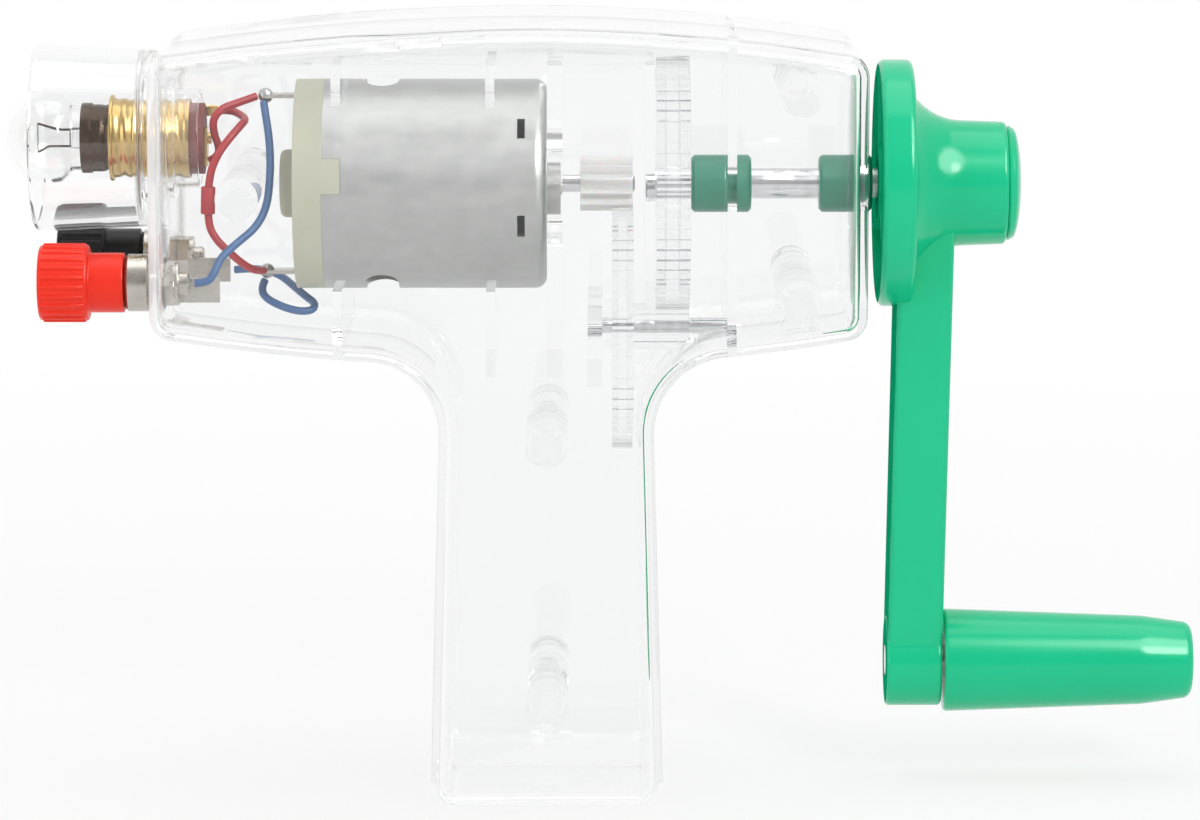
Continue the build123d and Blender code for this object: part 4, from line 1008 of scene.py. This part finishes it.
for node, route in wire_routes.items():
    points = [Vector((x, y, axis_height + rise)) * mm for x, y, rise in route]
    sheath = red_sheath if node.startswith("red") else blue_sheath
    put(tube(node + "_tube", points, wire_radius), node, sheath)
finished_copy("heat_sleeve", "shrunk_sleeve", red_sheath, edge=0.15)
finished_copy("solder_joints", "solder_blobs", solder)

# %% [markdown]
# ## Crank cap and grip
# The cap is a shallow dome with a seam where it meets the hub. The grip tapers, and rounds over at its
# end.

# %% Cap
hub_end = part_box("crank")[1].x / mm
cap_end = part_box("crank_cap")[1].x / mm
plug_start = hub_end - 1.5      # the cap's plug sits in the hub
plug_radius = 6.4
plug_bore = 5.5
seam = hub_end + 0.05
seam_radius = 7.45
brim = hub_end + 0.35
brim_radius = 7.6
dome_start = hub_end + 0.75
dome_radius = 7.35
dome_inside = hub_end + 0.2
dome_steps = 12
cap_section = [(plug_start, plug_bore), (plug_start, plug_radius), (seam, plug_radius),
               (seam, seam_radius), (brim, brim_radius), (dome_start, dome_radius)]
for step in range(1, dome_steps + 1):
    turn = step / dome_steps * pi / 2
    cap_section.append((dome_start + (cap_end - dome_start) * sin(turn), dome_radius * cos(turn)))
cap_section += [(dome_inside, 0), (dome_inside, plug_bore)]
cap = lathe("hub_cap", cap_section, axis_height)
smooth(cap.data, 40)
put(cap, "crank_cap", green_plastic)

# %% Grip
grip_low, grip_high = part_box("crank_grip")
grip_start, grip_end = grip_low.x / mm, grip_high.x / mm
grip_height = (grip_low.z + grip_high.z) / 2 / mm
grip_radius = 6.9
taper_end = grip_end - 6.8
taper_radius = 5.95
tip_start = grip_end - 0.1
tip_radius = 5.0
pin_bore = 2.05
head_room_start = grip_start + 23.7     # a wider chamber for the pin's head
head_room_end = grip_start + 26.3
head_room_radius = 2.9
grip_section = rounded(
    [(grip_start, pin_bore), (grip_start, grip_radius), (taper_end, taper_radius),
     (tip_start, tip_radius), (grip_end, 0), (head_room_end, 0), (head_room_end, head_room_radius),
     (head_room_start, head_room_radius), (head_room_start, pin_bore)],
    [0, 0.5, 14.0, 1.3, 0, 0, 0, 0, 0], steps=8)
grip = lathe("turning_grip", grip_section, grip_height, closed=False)
smooth(grip.data, 40)
put(grip, "crank_grip", green_plastic)

# %% [markdown]
# ## Floor
# The object stands on a plain pale floor. Near it the floor takes its shadow, and further out it turns
# into plain white, so that clear plastic and metal have a bright field to show.

# %% Floor
shadow_ground = 0.10        # metres from the origin, where the floor starts to turn white
white_ground = 0.40
least_white = 0.70
mirrored_white = 0.88
floor_grey = (0.86, 0.86, 0.86, 1)
floor_size = 8.0            # from its middle to each side


def white_rays(owner):
    """1 for the rays that see the background: camera, glossy and transmission rays."""
    rays = add(owner, "LightPath", "white rays").outputs
    direct = compute(owner, "direct", "MAXIMUM", rays["Is Camera Ray"], rays["Is Glossy Ray"])
    return compute(owner, "white", "MAXIMUM", direct, rays["Is Transmission Ray"])


floor_material = new_material("floor")
matt = add(floor_material, "BsdfDiffuse", "matt", Color=floor_grey)
plain_white = add(floor_material, "Emission", "plain white", Strength=1.0)
place = add(floor_material, "TexCoord", "place")
distance = add(floor_material, "VectorMath", "distance", operation="LENGTH")
join(floor_material, place.outputs["Object"], distance.inputs[0])
outwards = spread_over(floor_material, "outwards", distance.outputs["Value"], shadow_ground, white_ground,
                       least_white)
seen_white = compute(floor_material, "seen white", "MULTIPLY", outwards, white_rays(floor_material))
glossy = add(floor_material, "LightPath", "glossy").outputs["Is Glossy Ray"]
mirrored = compute(floor_material, "mirrored", "MULTIPLY", glossy, mirrored_white)
whiteness = compute(floor_material, "whiteness", "MAXIMUM", seen_white, mirrored)
surface(floor_material, mixed_shader(floor_material, "blend", whiteness, matt, plain_white))

corners = [(x * floor_size, y * floor_size, 0) for x, y in ((-1, -1), (1, -1), (1, 1), (-1, 1))]
floor_mesh = bpy.data.meshes.new("floor")
floor_mesh.from_pydata(corners, [], [(0, 1, 2, 3)])
floor_mesh.materials.append(floor_material)
floor = new_object("floor", floor_mesh)
print("floor:", floor_size * 2, "m wide")

# %% [markdown]
# ## World
# The world lights the object evenly and shows itself as plain white. Metal would look flat in pure
# white, so glossy rays see the room darken towards the viewer's side. Rays that come out of clear
# plastic see it darken upwards, which draws the edges of the mouldings.

# %% World
fill_strength = 0.65
room_y = (-0.9, 0.1)
room_tones = (0.34, 1.0)
ceiling_z = (0.02, 0.60)
ceiling_tones = (1.0, 0.50)

world = bpy.data.worlds.new("studio")
world.use_nodes = True
scene.world = world
world.node_tree.nodes.clear()
add(world, "OutputWorld", "output")
direction = add(world, "TexCoord", "direction")
parts = add(world, "SeparateXYZ", "parts")
join(world, direction.outputs["Generated"], parts.inputs[0])
room = spread_over(world, "room", parts.outputs["Y"], *room_y, *room_tones)
ceiling = spread_over(world, "ceiling", parts.outputs["Z"], *ceiling_z, *ceiling_tones)
rays = add(world, "LightPath", "rays").outputs
bent = mixed_colour(world, "bent", rays["Is Transmission Ray"], (1, 1, 1, 1), ceiling)
shade = mixed_colour(world, "shade", rays["Is Glossy Ray"], bent, room)
seen = add(world, "Background", "seen", Strength=1.0)
join(world, shade, seen.inputs["Color"])
lit = add(world, "Background", "lit", Color=(1, 1, 1, 1), Strength=fill_strength)
surface(world, mixed_shader(world, "choice", white_rays(world), lit, seen))
print("world nodes:", len(world.node_tree.nodes))

# %% [markdown]
# ## Lamps
# A wide box overhead and a fill on the left give soft light without hard shadows. Two round dishes on
# the right put the highlights on the crank's flare and the grip. The larger one lights no matt surface.


# %% Lamps
def soft_box(name, place, width, height, power, shape="RECTANGLE"):
    """An area lamp that faces the middle of the object. Sizes are in metres."""
    data = bpy.data.lights.new(name, "AREA")
    data.shape = shape
    data.size = width
    data.size_y = height
    data.energy = power
    lamp = new_object(name, data)
    lamp.location = place
    lamp.rotation_mode = "QUATERNION"
    lamp.rotation_quaternion = (look_at - Vector(place)).to_track_quat("-Z", "Y")
    print(name, "gives", power, "W")
    return lamp


soft_box("top box", (0.0, 0.05, 0.95), 0.9, 0.7, 2.8)
soft_box("key dish", (0.46, -0.78, 0.62), 0.34, 0.34, 3.0, "ELLIPSE")
soft_box("fill box", (-0.75, -0.60, 0.35), 0.5, 0.6, 1.6)
highlight = soft_box("highlight dish", (0.526, -0.50, 0.67), 0.76, 0.76, 12.0, "ELLIPSE")
highlight.visible_diffuse = False

# %% [markdown]
# ## Bounces
# A ray crosses up to a dozen clear faces on its way through the housing, so it needs more bounces than
# usual.

# %% Bounces
scene.cycles.max_bounces = 24
scene.cycles.transmission_bounces = 24
scene.cycles.transparent_max_bounces = 32
scene.cycles.glossy_bounces = 6
print("bounces:", scene.cycles.max_bounces)
